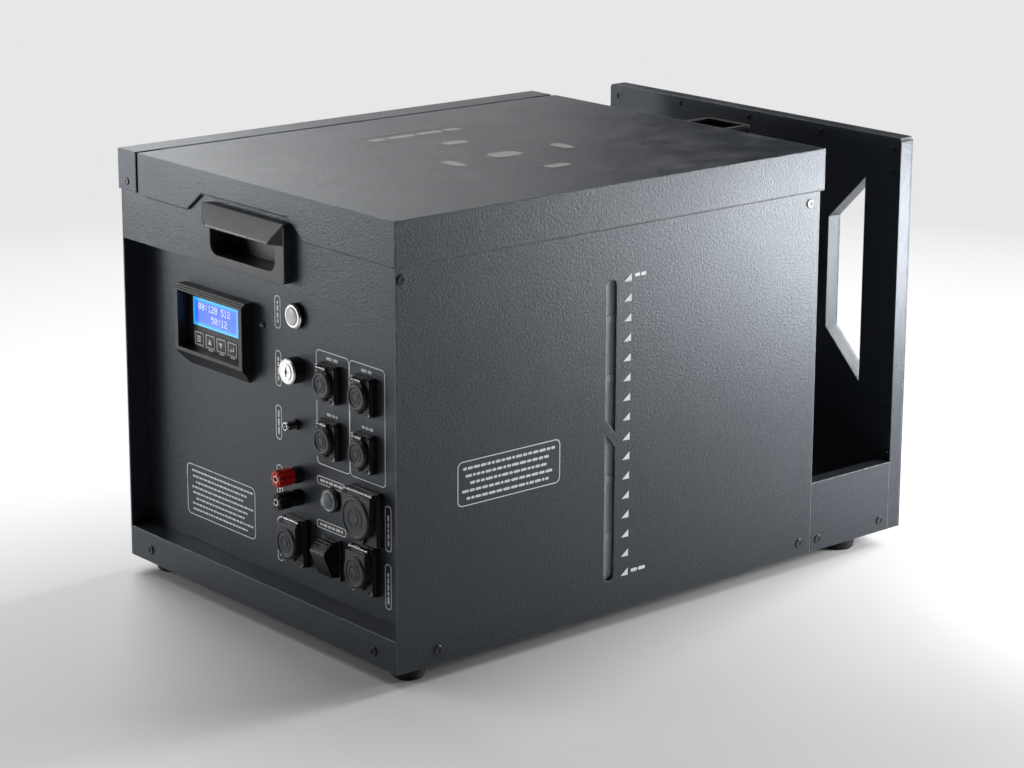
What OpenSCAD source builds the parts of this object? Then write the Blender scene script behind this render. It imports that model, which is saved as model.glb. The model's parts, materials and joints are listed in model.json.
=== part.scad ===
// Stage flame machine: a sheet-steel case with a hinged lid, a recessed control
// panel, a fuel tank behind a level slot and a nozzle head that swings in an open bay.
// Units are millimetres. X runs to the right seen from the front, Y to the rear, Z up.

/* [Case] */
// Width over the two side panels
case_w = 370; // [360:1:400]
// Length from the front face to the rear bulkhead
case_l = 450; // [430:1:500]
// Height from the underside to the top of the lid
case_h = 354; // [350:1:400]
// Thickness of the sheet steel
sheet = 1.5; // [1.2:0.1:2]
// Width of the inward flanges that stiffen the sheets
flange_w = 12; // [8:1:14]
// Height of the floor's upright flanges
floor_flange_h = 18; // [12:1:24]
// Depth of the control panel behind the front face
recess = 21.5; // [15:0.5:28]
// Height of the front sill
sill_h = 26; // [20:1:34]
// Height of the band above the control panel, down from the lid top
band_h = 76; // [70:1:78]
// Outside corner radius of the cut edges
edge_r = 4; // [2:0.5:6]

/* [Lid] */
// Height of the lid's skirts
skirt_h = 35; // [28:1:40]
// Gap between the lid's skirts and the case
skirt_gap = 1; // [0.6:0.1:2]
// Width of the fixed cover strip along the hinge
strip_w = 26; // [20:1:34]
// Radius of the hinge knuckles
knuckle_r = 1.6; // [1.5:0.1:1.8]
// Radius of the hinge pin
hinge_pin_r = 0.9; // [0.7:0.05:0.95]
// Number of hinge knuckles
knuckles = 11; // [5:2:21]
// Width of each hinge leaf
leaf_w = 10; // [8:1:10]
// Depth of the notch that clears the handle
notch_h = 16; // [12:1:17]

/* [Flame bay] */
// Length of the open bay between the bulkhead and the guard
bay_l = 99; // [92:1:120]
// Thickness of the end guard
guard_t = 15; // [10:1:20]
// Height of the end guard
guard_h = 351; // [340:1:380]
// Height of the low side plates of the bay
bay_plate_h = 62; // [50:1:80]
// Distance of a hand-hold's short side from the middle
hold_in = 103; // [95:1:110]
// Width of each hand-hold
hold_w = 42; // [35:1:50]
// Height of a hand-hold's short side
hold_short = 100; // [80:1:120]
// Height of the hand-holds' middle above the underside
hold_z = 219; // [190:1:230]

/* [Feet] */
// Diameter of a rubber foot
foot_d = 28; // [22:1:34]
// Height of a rubber foot
foot_h = 13; // [9:1:18]
// Distance of a foot's middle from the side
foot_side = 22; // [19:1:30]
// Distance of the front feet from the front face
foot_front = 27; // [22:1:40]
// Distance of the rear feet from the guard's outer face
foot_rear = 54; // [30:1:70]

/* [Front handle] */
// Width of the handle frame
handle_w = 112; // [100:1:120]
// Height of the handle frame
handle_h = 48; // [44:1:50]
// Distance of the handle frame's top below the lid top
handle_drop = 24; // [22:1:25]
// How far the frame stands out of the band
handle_out = 8; // [6:0.5:10]
// How far the grip lip stands out of the band
lip_out = 14; // [11:0.5:18]
// Depth of the finger pocket behind the front face
pocket_d = 17; // [12:1:24]
// Wall of the handle moulding
handle_wall = 2.5; // [2:0.1:3.5]

/* [Display unit] */
// Width of the display bezel
bezel_w = 96; // [92:1:104]
// Height of the display bezel
bezel_h = 68; // [66:1:74]
// How far the bezel stands out of the panel
bezel_out = 12.5; // [9:0.5:15]
// Front width of the bezel's rim
bezel_rim = 4.5; // [3:0.5:5]
// Position of the display unit's middle across the panel
display_x = -75.5; // [-80:0.5:-70]
// Drop of the display unit's middle below the band
display_drop = 63.5; // [53:0.5:73]
// Width of the lit window
window_w = 64; // [58:1:68]
// Height of the lit window
window_h = 23.5; // [20:0.5:26]
// Width of a menu key
key_w = 13; // [11:0.5:14]
// Height of a menu key
key_h = 11.5; // [9:0.5:12.5]
// Spacing of the menu keys
key_pitch = 15.8; // [15.6:0.1:17]
// Travel of a menu key
key_travel = 0.8; // [0.5:0.1:1.2]

/* [Panel columns] */
// Column of the button, key switch and posts
col_a = 31; // [29:0.5:33]
// Column of the first data sockets, breaker and rocker
col_b = 75.5; // [74:0.5:78]
// Column of the second data sockets
col_c = 120.5; // [119:0.5:124]
// Drop of the start button's middle below the band
start_drop = 29; // [24:0.5:33]
// Drop of the key switch's middle below the band
lock_drop = 73; // [69:0.5:76]
// Drop of the lamp's middle below the band
led_drop = 45.5; // [38:0.5:53]
// Column of the lamp
led_x = -15.5; // [-18:0.5:-13]
// Column of the aerial socket
aerial_x = 29; // [26:0.5:31]

/* [Start button and key switch] */
// Diameter of the start button's ring
ring_d = 21; // [19:0.5:23]
// Diameter of the start button's cap
start_cap_d = 14; // [12:0.5:15]
// Travel of the start button
start_travel = 2; // [1:0.25:3]
// Diameter of the key switch body
lock_d = 21.5; // [19:0.5:22]
// How far the key switch stands out of the panel
lock_out = 11; // [8:0.5:14]
// Diameter of the turning barrel
barrel_d = 13; // [11:0.5:15]

/* [Binding posts] */
// Spacing of the two binding posts
post_pitch = 19; // [19:0.05:21]
// Height of the middle between the posts
post_z = 109.5; // [105:0.5:113]
// Diameter of a post's clamp nut
post_nut_d = 14; // [12:0.5:16]
// Length of a post's clamp nut
post_nut_l = 16; // [12:0.5:18]
// Radius of the plug bore in a post
plug_r = 2; // [1.95:0.01:2.05]
// Depth of the plug bore
plug_depth = 16; // [12:1:18]

/* [Breaker and rocker] */
// Diameter of the breaker's collar
breaker_d = 20; // [18:0.5:21]
// Height of the breaker's middle
breaker_z = 108.5; // [106:0.5:110]
// Travel of the reset button
reset_travel = 3; // [2:0.25:3.5]
// Width of the rocker switch frame
rocker_w = 25; // [22:0.5:26]
// Height of the rocker switch frame
rocker_h = 34; // [31:0.5:36]
// Height of the rocker switch's middle
rocker_z = 60.5; // [58:0.5:62]
// Tilt of the rocker at rest
rocker_tilt = 9; // [6:0.5:12]

/* [Data sockets] */
// Width of a data socket's flange
data_w = 26; // [25:0.5:28]
// Height of a data socket's flange
data_h = 31; // [30:0.5:33]
// How far the flange stands out of the panel
data_out = 7; // [5:0.5:8]
// Radius of a data socket's mouth
data_mouth_r = 9.2; // [8.5:0.1:9.5]
// Height of the upper data sockets' middle
data_z = 203.5; // [200:0.5:206]
// Drop from the upper to the lower data sockets
data_drop = 45.5; // [45:0.5:47]
// Diameter of a data socket's cap
data_cap_d = 22; // [21:0.5:23]

/* [Power sockets] */
// Width of a small power socket's flange
power_w = 29; // [28:0.5:31]
// Height of a small power socket's flange
power_h = 40; // [38:0.5:42]
// How far a power flange stands out of the panel
power_out = 7; // [5:0.5:8]
// Radius of a power socket's mouth
power_mouth_r = 10.5; // [9.5:0.1:11]
// Height of the small power sockets' middle
power_z = 64; // [62:0.5:66]
// Column of the right-hand power sockets
power_col = 121.5; // [120:0.5:124]
// Diameter of a small power cap
power_cap_d = 26; // [25:0.5:27]
// Width of the large power socket's flange
outlet_w = 40; // [38:0.5:42]
// Height of the large power socket's flange
outlet_h = 44; // [42:0.5:46]
// Height of the large power socket's middle
outlet_z = 107.5; // [106.5:0.5:109]
// Radius of the large power socket's mouth
outlet_mouth_r = 13.5; // [12:0.1:14]
// Diameter of the large power cap
outlet_cap_d = 35; // [33:0.5:36]

/* [Level slots] */
// Width of the level slots
slot_w = 10.5; // [8:0.5:12]
// Distance of the slots' middle from the front face
slot_y = 215.5; // [180:0.5:240]
// Height of the slots' upper end
slot_top = 276.5; // [260:0.5:280]
// Height of the slots' lower end
slot_bottom = 27; // [24:0.5:32]
// Height of the middle of the bar between the slots
slot_bar_z = 151; // [140:0.5:160]
// Height of the bar between the slots
slot_bar_h = 12.5; // [8:0.5:16]

/* [Fuel system] */
// Width of the fuel tank
tank_w = 78; // [60:1:85]
// Room behind the fuel tank for its hose
tank_back = 130.5; // [129:0.5:160]
// Height of the fuel tank
tank_h = 288; // [284:1:295]
// Wall of the fuel tank
tank_wall = 3; // [2.5:0.1:4]
// Distance of the tank's front from the front face
tank_y = 118; // [100:1:130]
// Radius of the filler neck
neck_r = 20; // [16:0.5:24]
// Radius of a fuel hose
hose_r = 4; // [3:0.25:5]
// Bend radius of a fuel hose
bend_r = 12; // [10:0.5:14]
// Radius of the pump body
pump_r = 24; // [20:1:28]
// Length of the pump body
pump_l = 96; // [80:1:105]
// Width of the fuel valve's body
valve_w = 32; // [28:1:34]
// Length of the fuel valve's body
valve_l = 30; // [26:1:34]
// Height of the fuel valve's body
valve_h = 50; // [44:1:56]
// Length of the in-line filter
filter_l = 42; // [36:1:46]

/* [Electrics] */
// Width of the power supply
supply_w = 50; // [40:1:58]
// Length of the power supply
supply_l = 200; // [190:1:220]
// Height of the power supply
supply_h = 98; // [85:1:110]
// Width of the control board
board_w = 140; // [134:1:150]
// Length of the control board
board_l = 90; // [86:1:100]
// Width of the ignition coil
coil_w = 64; // [56:1:72]
// Length of the ignition coil
coil_l = 52; // [44:1:60]
// Height of the ignition coil
coil_h = 46; // [40:1:54]

/* [Swing head] */
// Height of the swing axis above the underside
pivot_z = 200; // [190:1:210]
// Width of the square nozzle hood
hood_w = 54; // [46:1:60]
// Height of the hood's top above the swing axis
hood_up = 143; // [125:1:145]
// Depth of the hood below the swing axis
hood_down = 30; // [26:1:34]
// Wall of the hood
hood_wall = 2; // [1.5:0.1:3]
// Width of the hood's inward rim
hood_rim = 5; // [3:0.5:8]
// Radius of the swing shaft
shaft_r = 8; // [6:0.5:9]
// Radial running clearance of turning parts
run_gap = 0.08; // [0.05:0.01:0.1]
// Pitch radius of the large pulley
pulley_r = 24; // [20:0.5:28]
// Pitch radius of the motor pulley
motor_pulley_r = 8; // [7:0.5:10]
// Distance between the two pulleys
pulley_span = 88; // [82:1:95]
// Width of the drive belt
belt_w = 9; // [6:0.5:10]
// Thickness of the drive belt
belt_t = 1.6; // [1.2:0.1:2]
// Width of the square swing motor
motor_w = 56.4; // [50:0.1:57]
// Length of the swing motor
motor_l = 54; // [45:1:60]

/* [Fits] */
// Clearance between pieces that move past each other
fit_gap = 0.3; // [0.25:0.01:0.35]
// Radius of a case screw's head
screw_r = 4; // [3:0.25:4.5]
// Height of a case screw's head
screw_h = 0.8; // [0.5:0.1:1]

/* [Hidden] */
$fn = 64;
// Length by which a cutter runs past what it cuts
over = 1;
side_x = case_w / 2;
in_x = side_x - sheet;
guard_y = case_l + bay_l;
end_y = guard_y + guard_t;
// Middle of the overall length, from the lip's front to the guard's outer face
mid_y = (end_y - lip_out) / 2;
band_z = case_h - band_h;
display_z = band_z - display_drop;
start_z = band_z - start_drop;
lock_z = band_z - lock_drop;
led_z = band_z - led_drop;
// The aerial socket sits a little over midway between the key switch and the posts
aerial_z = (lock_z + post_z) / 2 + 2.75;
handle_top = case_h - handle_drop;
flange_top = case_h - sheet - fit_gap;
panel_back = recess + sheet;
edge_out = skirt_gap + sheet;
// Hinge line
hinge_x = -side_x + strip_w + 1.75;
hinge_z = case_h - sheet;
hinge_clear = 3;
lid_x = hinge_x + 2;
bay_mid = case_l + bay_l / 2;
tank_x = in_x - sheet - tank_w;
tank_top = sheet + tank_h;
neck_h = 14;
cap_h = 16;
display_face = 2.5;
display_depth = 9;
glass_t = 1.5;
window_x = -3;
window_z = 12.3;
keys_z = -10.4;
panel_t = sheet;
bulk_in = case_l - sheet;
tank_l = bulk_in - tank_back - tank_y;
neck_y = tank_y + tank_l * 0.3;
bearing_t = 12;
pulley_flange = 1.5;
pulley_w = belt_w + 2 * pulley_flange + 1;
pulley_y = bulk_in - bearing_t - 2 - pulley_w;
motor_z = pivot_z - pulley_span;
bracket_t = 3;
post_base_l = 7;

// Everything is placed with the origin under the middle of the feet
module place() { translate([0, -mid_y, foot_h]) children(); }
// A frame on the control panel: local Z points out of the panel, local Y points up
module on_panel(x, z) { translate([x, recess, z]) rotate([90, 0, 0]) children(); }
// A frame on the front face of the case
module on_front(x, z) { translate([x, 0, z]) rotate([90, 0, 0]) children(); }
// A frame on an XZ outline that is extruded to the rear from y
module slab_y(y, t) { translate([0, y + t, 0]) rotate([90, 0, 0]) linear_extrude(t) children(); }
// A box given by its lowest corner and its size
module block(p, s) { translate(p) cube(s); }
// A rectangle with round corners, centred
module round_rect(w, h, r) {
    square([w - 2 * r, h], center = true);
    square([w, h - 2 * r], center = true);
    for (sx = [-1, 1], sy = [-1, 1])
        translate([sx * (w / 2 - r), sy * (h / 2 - r)]) circle(r);
}
module round_plate(w, h, r, t) { linear_extrude(t) round_rect(w, h, r); }
module disc(r, t) { cylinder(r = r, h = t); }
module ring(r_out, r_in, t) {
    difference() { disc(r_out, t); translate([0, 0, -over]) disc(r_in, t + 2 * over); }
}

// Places that more than one piece shares
foot_spots = [for (sx = [-1, 1], y = [foot_front, end_y - foot_rear]) [sx * (side_x - foot_side), y]];
hold_long = hold_short + 2 * hold_w;
data_spots = [[col_b, data_z], [col_c, data_z], [col_b, data_z - data_drop], [col_c, data_z - data_drop]];
power_spots = [[col_a, power_z], [power_col, power_z]];
side_screws = [[5, case_h - 45.5], [case_l - 12, case_h - 45.5], [39, 11], [case_l - 14, 11]];
bay_screws = [[case_l + 9.5, 10], [guard_y - 11, 10]];
sill_screws = [[-side_x + 30, 11], [side_x - 30, 11]];
tab_h = skirt_h - 1;

// Outline of the right-hand hand-hold, grown by g
module hold_outline(g) {
    k = g * tan(22.5);
    polygon([[hold_in - g, hold_z - hold_short / 2 - k], [hold_in - g, hold_z + hold_short / 2 + k],
        [hold_in + hold_w + g, hold_z + hold_long / 2 + g + g * tan(67.5)],
        [hold_in + hold_w + g, hold_z - hold_long / 2 - g - g * tan(67.5)]]);
}
module both_holds(g) { for (m = [0, 1]) mirror([m, 0]) hold_outline(g); }
module guard_outline(g) {
    translate([-side_x + g, 0]) square([case_w - 2 * g, guard_h - edge_r]);
    translate([-side_x + edge_r, 0]) square([case_w - 2 * edge_r, guard_h - g]);
    for (sx = [-1, 1]) translate([sx * (side_x - edge_r), guard_h - edge_r]) circle(edge_r - g);
}

// Case
module base_tray() {
    color("#26282b") place() difference() {
        union() {
            block([-in_x, 0, 0], [2 * in_x, guard_y, sheet]);
            // Front sill and its ledge
            block([-in_x, 0, 0], [2 * in_x, sheet, sill_h]);
            block([-in_x, 0, sill_h - sheet], [2 * in_x, panel_back, sheet]);
            // Upright flanges along both sides and the rear
            for (sx = [0, 1]) mirror([sx, 0, 0])
                block([in_x - sheet, panel_back + 1, 0], [sheet, guard_y - panel_back - 1, floor_flange_h]);
            block([-in_x, guard_y - sheet, 0], [2 * in_x, sheet, floor_flange_h]);
        }
        // Drain holes in the bay
        for (x = [-90, 0, 90]) translate([x, bay_mid, -over]) disc(3, sheet + 2 * over);
    }
}
// Two slots with a raked bar between them and round outer ends
module slot_cut() {
    h = slot_w / 2;
    rake = slot_w * 0.6;
    bar = slot_bar_h / 2;
    translate([slot_y, slot_bar_z]) {
        polygon([[-h, bar + rake], [h, bar - rake], [h, slot_top - slot_bar_z - h], [-h, slot_top - slot_bar_z - h]]);
        polygon([[-h, rake - bar], [h, -rake - bar], [h, slot_bottom - slot_bar_z + h], [-h, slot_bottom - slot_bar_z + h]]);
    }
    for (z = [slot_top - h, slot_bottom + h]) translate([slot_y, z]) circle(h);
}
// One side panel with its top flange; the cutter runs along X
module side_panel() {
    block([in_x, 0, 0], [sheet, case_l, flange_top]);
    block([in_x - flange_w, sheet + flange_w + 2, flange_top - sheet],
        [flange_w, case_l - 2 * (sheet + flange_w + 2), sheet]);
}
module side_panel_right() {
    color("#2b2d30") place() difference() {
        side_panel();
        translate([in_x - over, 0, 0]) rotate([90, 0, 90]) linear_extrude(sheet + 2 * over) slot_cut();
    }
}
module side_panel_left() { color("#2b2d30") place() mirror([1, 0, 0]) side_panel(); }
module front_band() {
    color("#303235") place() difference() {
        union() {
            block([-in_x, 0, band_z], [2 * in_x, sheet, flange_top - band_z]);
            block([-in_x, 0, band_z], [2 * in_x, panel_back, sheet]);
            block([-in_x, 0, flange_top - sheet], [2 * in_x, sheet + flange_w, sheet]);
        }
        on_front(0, handle_top - handle_h / 2) translate([0, 0, -sheet - over])
            round_plate(pocket_w + 2 * handle_wall + 2 * fit_gap,
                pocket_h + 2 * handle_wall + 2 * fit_gap, pocket_r + handle_wall, sheet + 2 * over);
    }
}
module control_panel() {
    color("#26282b") place() difference() {
        block([-in_x, recess, sill_h], [2 * in_x, sheet, band_z - sill_h]);
        on_panel(0, 0) translate([0, 0, -sheet - over]) linear_extrude(sheet + 2 * over) {
            translate([display_x, display_z]) square([module_w + 2 * fit_gap, module_h + 2 * fit_gap], center = true);
            translate([col_a, start_z]) circle(start_neck_r + fit_gap);
            translate([col_a, lock_z]) circle(lock_neck_r + fit_gap);
            translate([aerial_x, aerial_z]) circle(aerial_neck_r + fit_gap);
            translate([led_x, led_z]) circle(led_r + fit_gap);
            for (s = [-1, 1]) translate([col_a, post_z + s * post_pitch / 2]) circle(post_neck_r + fit_gap);
            translate([col_b, breaker_z]) circle(breaker_neck_r + fit_gap);
            translate([col_b, rocker_z]) square([rocker_w - 4 + 2 * fit_gap, rocker_h - 4 + 2 * fit_gap], center = true);
            for (p = data_spots) translate(p) circle(data_shell_r + fit_gap);
            for (p = power_spots) translate(p) circle(power_shell_r + fit_gap);
            translate([power_col, outlet_z]) circle(outlet_shell_r + fit_gap);
        }
    }
}
module rear_bulkhead() {
    color("#232528") place() difference() {
        union() {
            block([-in_x, bulk_in, sheet], [2 * in_x, sheet, flange_top - sheet]);
            block([-in_x, bulk_in - flange_w, flange_top - sheet], [2 * in_x, flange_w, sheet]);
        }
        translate([0, bulk_in - over, pivot_z]) rotate([-90, 0, 0]) disc(shaft_r + 1, sheet + 2 * over);
        // Notches round the floor's side flanges
        for (m = [0, 1]) mirror([m, 0, 0]) block([in_x - sheet - fit_gap, bulk_in - over, 0],
            [sheet + fit_gap + over, sheet + 2 * over, floor_flange_h + fit_gap]);
    }
}
module bay_side_plates() {
    color("#2b2d30") place() for (m = [0, 1]) mirror([m, 0, 0]) {
        block([in_x, case_l, 0], [sheet, bay_l, bay_plate_h]);
        block([in_x - flange_w, case_l, bay_plate_h - sheet], [flange_w, bay_l, sheet]);
    }
}
module guard_pan() {
    color("#26282b") place() difference() {
        union() {
            slab_y(guard_y, sheet) guard_outline(0);
            slab_y(guard_y, guard_t - sheet) difference() { guard_outline(0); guard_outline(sheet); }
            block([-side_x, guard_y, 0], [case_w, guard_t - sheet, sheet]);
            slab_y(guard_y, guard_t - sheet) both_holds(sheet);
        }
        slab_y(guard_y - over, guard_t + 2 * over) both_holds(0);
    }
}
module guard_back() {
    color("#232528") place() slab_y(end_y - sheet, sheet) difference() {
        guard_outline(0);
        both_holds(0);
    }
}
// Feet: a tapered rubber foot with a screw well
module rubber_feet() {
    color("#141414") place() for (p = foot_spots) translate([p[0], p[1], -foot_h]) rotate_extrude()
        polygon([[5, 3], [5, 0], [foot_d / 2 - 2.5, 0], [foot_d / 2 - 1.5, 1], [foot_d / 2, foot_h - 2],
            [foot_d / 2, foot_h], [3, foot_h], [3, 5], [5, 5]]);
}
module screw_head(r, h) {
    difference() {
        union() { disc(r, h * 0.5); cylinder(r1 = r, r2 = r - h * 0.5, h = h); }
        translate([0, 0, h * 0.45]) cylinder(r = r * 0.5, h = h, $fn = 6);
    }
}
module case_screws() {
    color("#101113") place() {
        for (p = side_screws, sx = [-1, 1])
            translate([sx * side_x, p[0], p[1]]) rotate([0, sx * 90, 0]) screw_head(screw_r, screw_h);
        for (p = bay_screws, sx = [-1, 1])
            translate([sx * side_x, p[0], p[1]]) rotate([0, sx * 90, 0]) screw_head(screw_r, screw_h);
        for (p = sill_screws) on_front(p[0], p[1]) screw_head(screw_r, screw_h + 0.4);
        on_front(-side_x + 11, handle_top - 2.5) translate([0, 0, sheet]) screw_head(screw_r * 0.8, screw_h);
        // Bolts through the guard into the low side plates
        for (sx = [-1, 1]) translate([sx * (side_x - 4.5), guard_y, bay_plate_h + 9])
            rotate([90, 0, 0]) screw_head(screw_r * 0.7, screw_h + 1);
        // Flange screws of the data and power sockets
        for (p = data_spots, s = [-1, 1]) on_panel(p[0] - s * 9.5, p[1] + s * 12)
            translate([0, 0, data_out]) screw_head(2.2, 0.8);
        for (p = power_spots, s = [-1, 1]) on_panel(p[0] + s * (power_w / 2 - 4), p[1] - power_h / 2 + 4)
            translate([0, 0, power_out]) screw_head(2.2, 0.8);
    }
}

// Hinge: the knuckles share one row, odd ones on the cover, even ones on the lid
hinge_y0 = 22;
hinge_l = case_l - 2 * hinge_y0;
pitch_k = hinge_l / knuckles;
module knuckle(i) {
    translate([hinge_x, hinge_y0 + i * pitch_k + fit_gap / 2, hinge_z]) rotate([-90, 0, 0])
        difference() {
            disc(knuckle_r, pitch_k - fit_gap);
            translate([0, 0, -over]) disc(hinge_pin_r + run_gap, pitch_k + 2 * over);
        }
}
// Web from a knuckle to its leaf: side -1 is the cover's, side 1 is the lid's
module knuckle_web(i, side) {
    w = hinge_clear - hinge_pin_r;
    translate([side > 0 ? hinge_x + hinge_pin_r + 0.4 : hinge_x - hinge_clear,
        hinge_y0 + i * pitch_k + fit_gap / 2, hinge_z - sheet])
        cube([w - 0.4, pitch_k - fit_gap, sheet - 0.1]);
}
module hinge_cover() {
    color("#2b2d30") place() {
        // Cover strip with an outer skirt and a tab at each end
        block([-side_x - sheet, -sheet, case_h - sheet],
            [hinge_x - hinge_clear + side_x + sheet, case_l + 2 * sheet, sheet]);
        block([-side_x - sheet, -sheet, case_h - tab_h], [sheet, case_l + 2 * sheet, tab_h]);
        for (y = [-sheet, case_l]) block([-side_x - sheet, y, case_h - tab_h],
            [hinge_x - hinge_clear + side_x + sheet, sheet, tab_h]);
        for (y = [20, case_l / 2, case_l - 20], z = [9, 25])
            translate([-side_x - sheet, y, case_h - z]) rotate([0, -90, 0]) disc(1.6, edge_out - sheet);
        // Fixed leaf, knuckles and pin
        translate([hinge_x - hinge_clear - leaf_w, hinge_y0, hinge_z - sheet]) cube([leaf_w, hinge_l, sheet]);
        for (i = [0:2:knuckles - 1]) { knuckle(i); knuckle_web(i, -1); }
    }
    color("silver") place() translate([hinge_x, hinge_y0, hinge_z]) rotate([-90, 0, 0])
        disc(hinge_pin_r, hinge_l);
}
notch_w = handle_w + 6;
notch_x = -5;
module lid() {
    w = side_x + edge_out - lid_x;
    z0 = case_h - skirt_h;
    color("#2b2d30") place() {
        difference() {
            union() {
                block([lid_x, -edge_out, case_h - sheet], [w, case_l + 2 * edge_out, sheet]);
                block([side_x + skirt_gap, -edge_out, z0], [sheet, case_l + 2 * edge_out, skirt_h]);
                for (y = [-edge_out, case_l + skirt_gap]) block([lid_x, y, z0], [w, sheet, skirt_h]);
                translate([lid_x, hinge_y0, hinge_z - sheet]) cube([leaf_w, hinge_l, sheet]);
            }
            // Notch round the handle, with raked ends
            slab_y(-edge_out - over, sheet + 2 * over) polygon([
                [notch_x - notch_w / 2 - notch_h * 1.3, z0 - over], [notch_x - notch_w / 2 - notch_h * 1.3, z0],
                [notch_x - notch_w / 2, z0 + notch_h], [notch_x + notch_w / 2, z0 + notch_h],
                [notch_x + notch_w / 2 + notch_h * 1.3, z0], [notch_x + notch_w / 2 + notch_h * 1.3, z0 - over]]);
        }
        for (i = [1:2:knuckles - 1]) { knuckle(i); knuckle_web(i, 1); }
    }
}

// Front handle: a moulded frame with a finger pocket under a raked grip lip
pocket_side = 12;
pocket_w = handle_w - 2 * pocket_side;
pocket_h = handle_h - 16;
pocket_r = 9;
lip_h = 17;
module front_handle() {
    color("#34363a") place() on_front(0, handle_top - handle_h / 2) difference() {
        union() {
            round_plate(handle_w, handle_h, edge_r, handle_out);
            translate([0, 0, -pocket_d]) round_plate(pocket_w + 2 * handle_wall, pocket_h + 2 * handle_wall,
                pocket_r + handle_wall, pocket_d + over);
            // Grip lip, raked from the frame's top edge out to its own lower edge
            hull() {
                translate([-handle_w / 2 + 1, handle_h / 2 - lip_h, handle_out - 2]) cube([handle_w - 2, lip_h, 2]);
                translate([-handle_w / 2 + 14, handle_h / 2 - lip_h, lip_out - 1]) cube([handle_w - 28, 1.2, 1]);
            }
        }
        // Pocket, open below the lip and hollow behind it
        translate([0, 0, handle_wall - pocket_d]) linear_extrude(pocket_d - handle_wall + handle_out - 2 + 0.01)
            round_rect(pocket_w, pocket_h, pocket_r);
        translate([0, 0, handle_wall - pocket_d]) linear_extrude(pocket_d + lip_out) intersection() {
            round_rect(pocket_w, pocket_h, pocket_r);
            translate([-handle_w / 2, -handle_h / 2]) square([handle_w, handle_h - lip_h]);
        }
    }
}

// Display unit
module_w = bezel_w - 2 * bezel_rim;
module_h = bezel_h - 8;
// The bezel's opening, from just above its raked face up to its top rim
open_lo = -bezel_h / 2 + bezel_out + 3;
open_h = bezel_h / 2 - bezel_rim - open_lo;
key_x = [for (i = [0:3]) window_x + (i - 1.5) * key_pitch];
module display_bezel() {
    w = bezel_w / 2;
    h = bezel_h / 2;
    color("#17181a") place() on_panel(display_x, display_z) difference() {
        // Hooded block: square top, raked lower face and clipped lower corners
        intersection() {
            rotate([90, 0, 90]) translate([0, 0, -w]) linear_extrude(bezel_w)
                polygon([[-h, 0], [h, 0], [h, bezel_out - 3], [h - 1.5, bezel_out - 3], [h - 1.5, bezel_out - 1.5],
                    [h - 3, bezel_out - 1.5], [h - 3, bezel_out], [-h + bezel_out, bezel_out], [-h, 1.5]]);
            linear_extrude(bezel_out) polygon([[-w + 6, -h], [w - 6, -h], [w, -h + 8], [w, h], [-w, h], [-w, -h + 8]]);
        }
        translate([0, 0, -over]) linear_extrude(bezel_out + 2 * over)
            translate([-module_w / 2, open_lo]) square([module_w, open_h]);
    }
}
module display_module() {
    color("#0e0f11") place() on_panel(display_x, display_z) difference() {
        union() {
            translate([0, 0, -display_depth]) linear_extrude(display_depth)
                square([module_w, module_h], center = true);
            linear_extrude(display_face) translate([-module_w / 2 + fit_gap, open_lo + fit_gap])
                square([module_w - 2 * fit_gap, open_h - 2 * fit_gap]);
        }
        translate([window_x, window_z, display_face - glass_t]) linear_extrude(glass_t + over)
            square([window_w, window_h], center = true);
        for (x = key_x) translate([x, keys_z, display_face - key_well]) linear_extrude(key_well + over)
            square([key_w + 2 * fit_gap, key_h + 2 * fit_gap], center = true);
    }
}
key_well = 2 + key_travel + 0.3;
module display_glass() {
    color("#2f7df0") place() on_panel(display_x + window_x, display_z + window_z)
        translate([0, 0, display_face - glass_t]) linear_extrude(glass_t)
            square([window_w, window_h], center = true);
}
module menu_key(i) {
    color("#3a3c40") place() on_panel(display_x + key_x[i], display_z + keys_z)
        translate([0, 0, display_face - 2]) {
            round_plate(key_w, key_h, 1, 2.4);
            translate([0, 0, 2.4]) round_plate(key_w - 3, key_h - 3, 1, 0.4);
        }
}
module menu_key_1() { menu_key(0); }
module menu_key_2() { menu_key(1); }
module menu_key_3() { menu_key(2); }
module menu_key_4() { menu_key(3); }

// Start button, key switch, aerial socket and lamp
start_neck_r = 8;
start_out = 5;
lock_neck_r = 9;
lock_neck_l = 24;
aerial_neck_r = 4;
aerial_r = 3.175;
led_r = 2;
module start_button_ring() {
    well = start_travel + 3;
    color("silver") place() on_panel(col_a, start_z) difference() {
        union() {
            rotate_extrude() polygon([[0, 0], [ring_d / 2, 0], [ring_d / 2, start_out - 1.5],
                [ring_d / 2 - 1.5, start_out], [0, start_out]]);
            translate([0, 0, -22]) disc(start_neck_r, 22);
            translate([0, 0, -panel_t - 3]) disc(ring_d / 2 - 1, 3);
            for (s = [-1, 1]) translate([s * 3 - 1, -0.4, -28]) cube([2, 0.8, 6.5]);
        }
        translate([0, 0, start_out - well]) disc(start_cap_d / 2 + fit_gap, well + over);
    }
}
module start_button_cap() {
    color("white") place() on_panel(col_a, start_z) translate([0, 0, start_out - 2.7])
        rotate_extrude() polygon([[0, 0], [start_cap_d / 2, 0], [start_cap_d / 2, 2.6],
            [start_cap_d / 2 - 1, 3.2], [start_cap_d / 2 - 4, 3.6], [0, 3.7]]);
}
module key_switch_body() {
    color("#8f9296") place() on_panel(col_a, lock_z) difference() {
        union() {
            rotate_extrude() polygon([[0, 0], [lock_d / 2, 0], [lock_d / 2, lock_out - 1],
                [lock_d / 2 - 1, lock_out], [0, lock_out]]);
            translate([0, 0, -lock_neck_l]) disc(lock_neck_r, lock_neck_l);
            translate([0, 0, -panel_t - 3]) disc(lock_d / 2 + 1, 3);
        }
        translate([0, 0, lock_out - 9]) disc(barrel_d / 2 + run_gap, 9 + over);
    }
}
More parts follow.
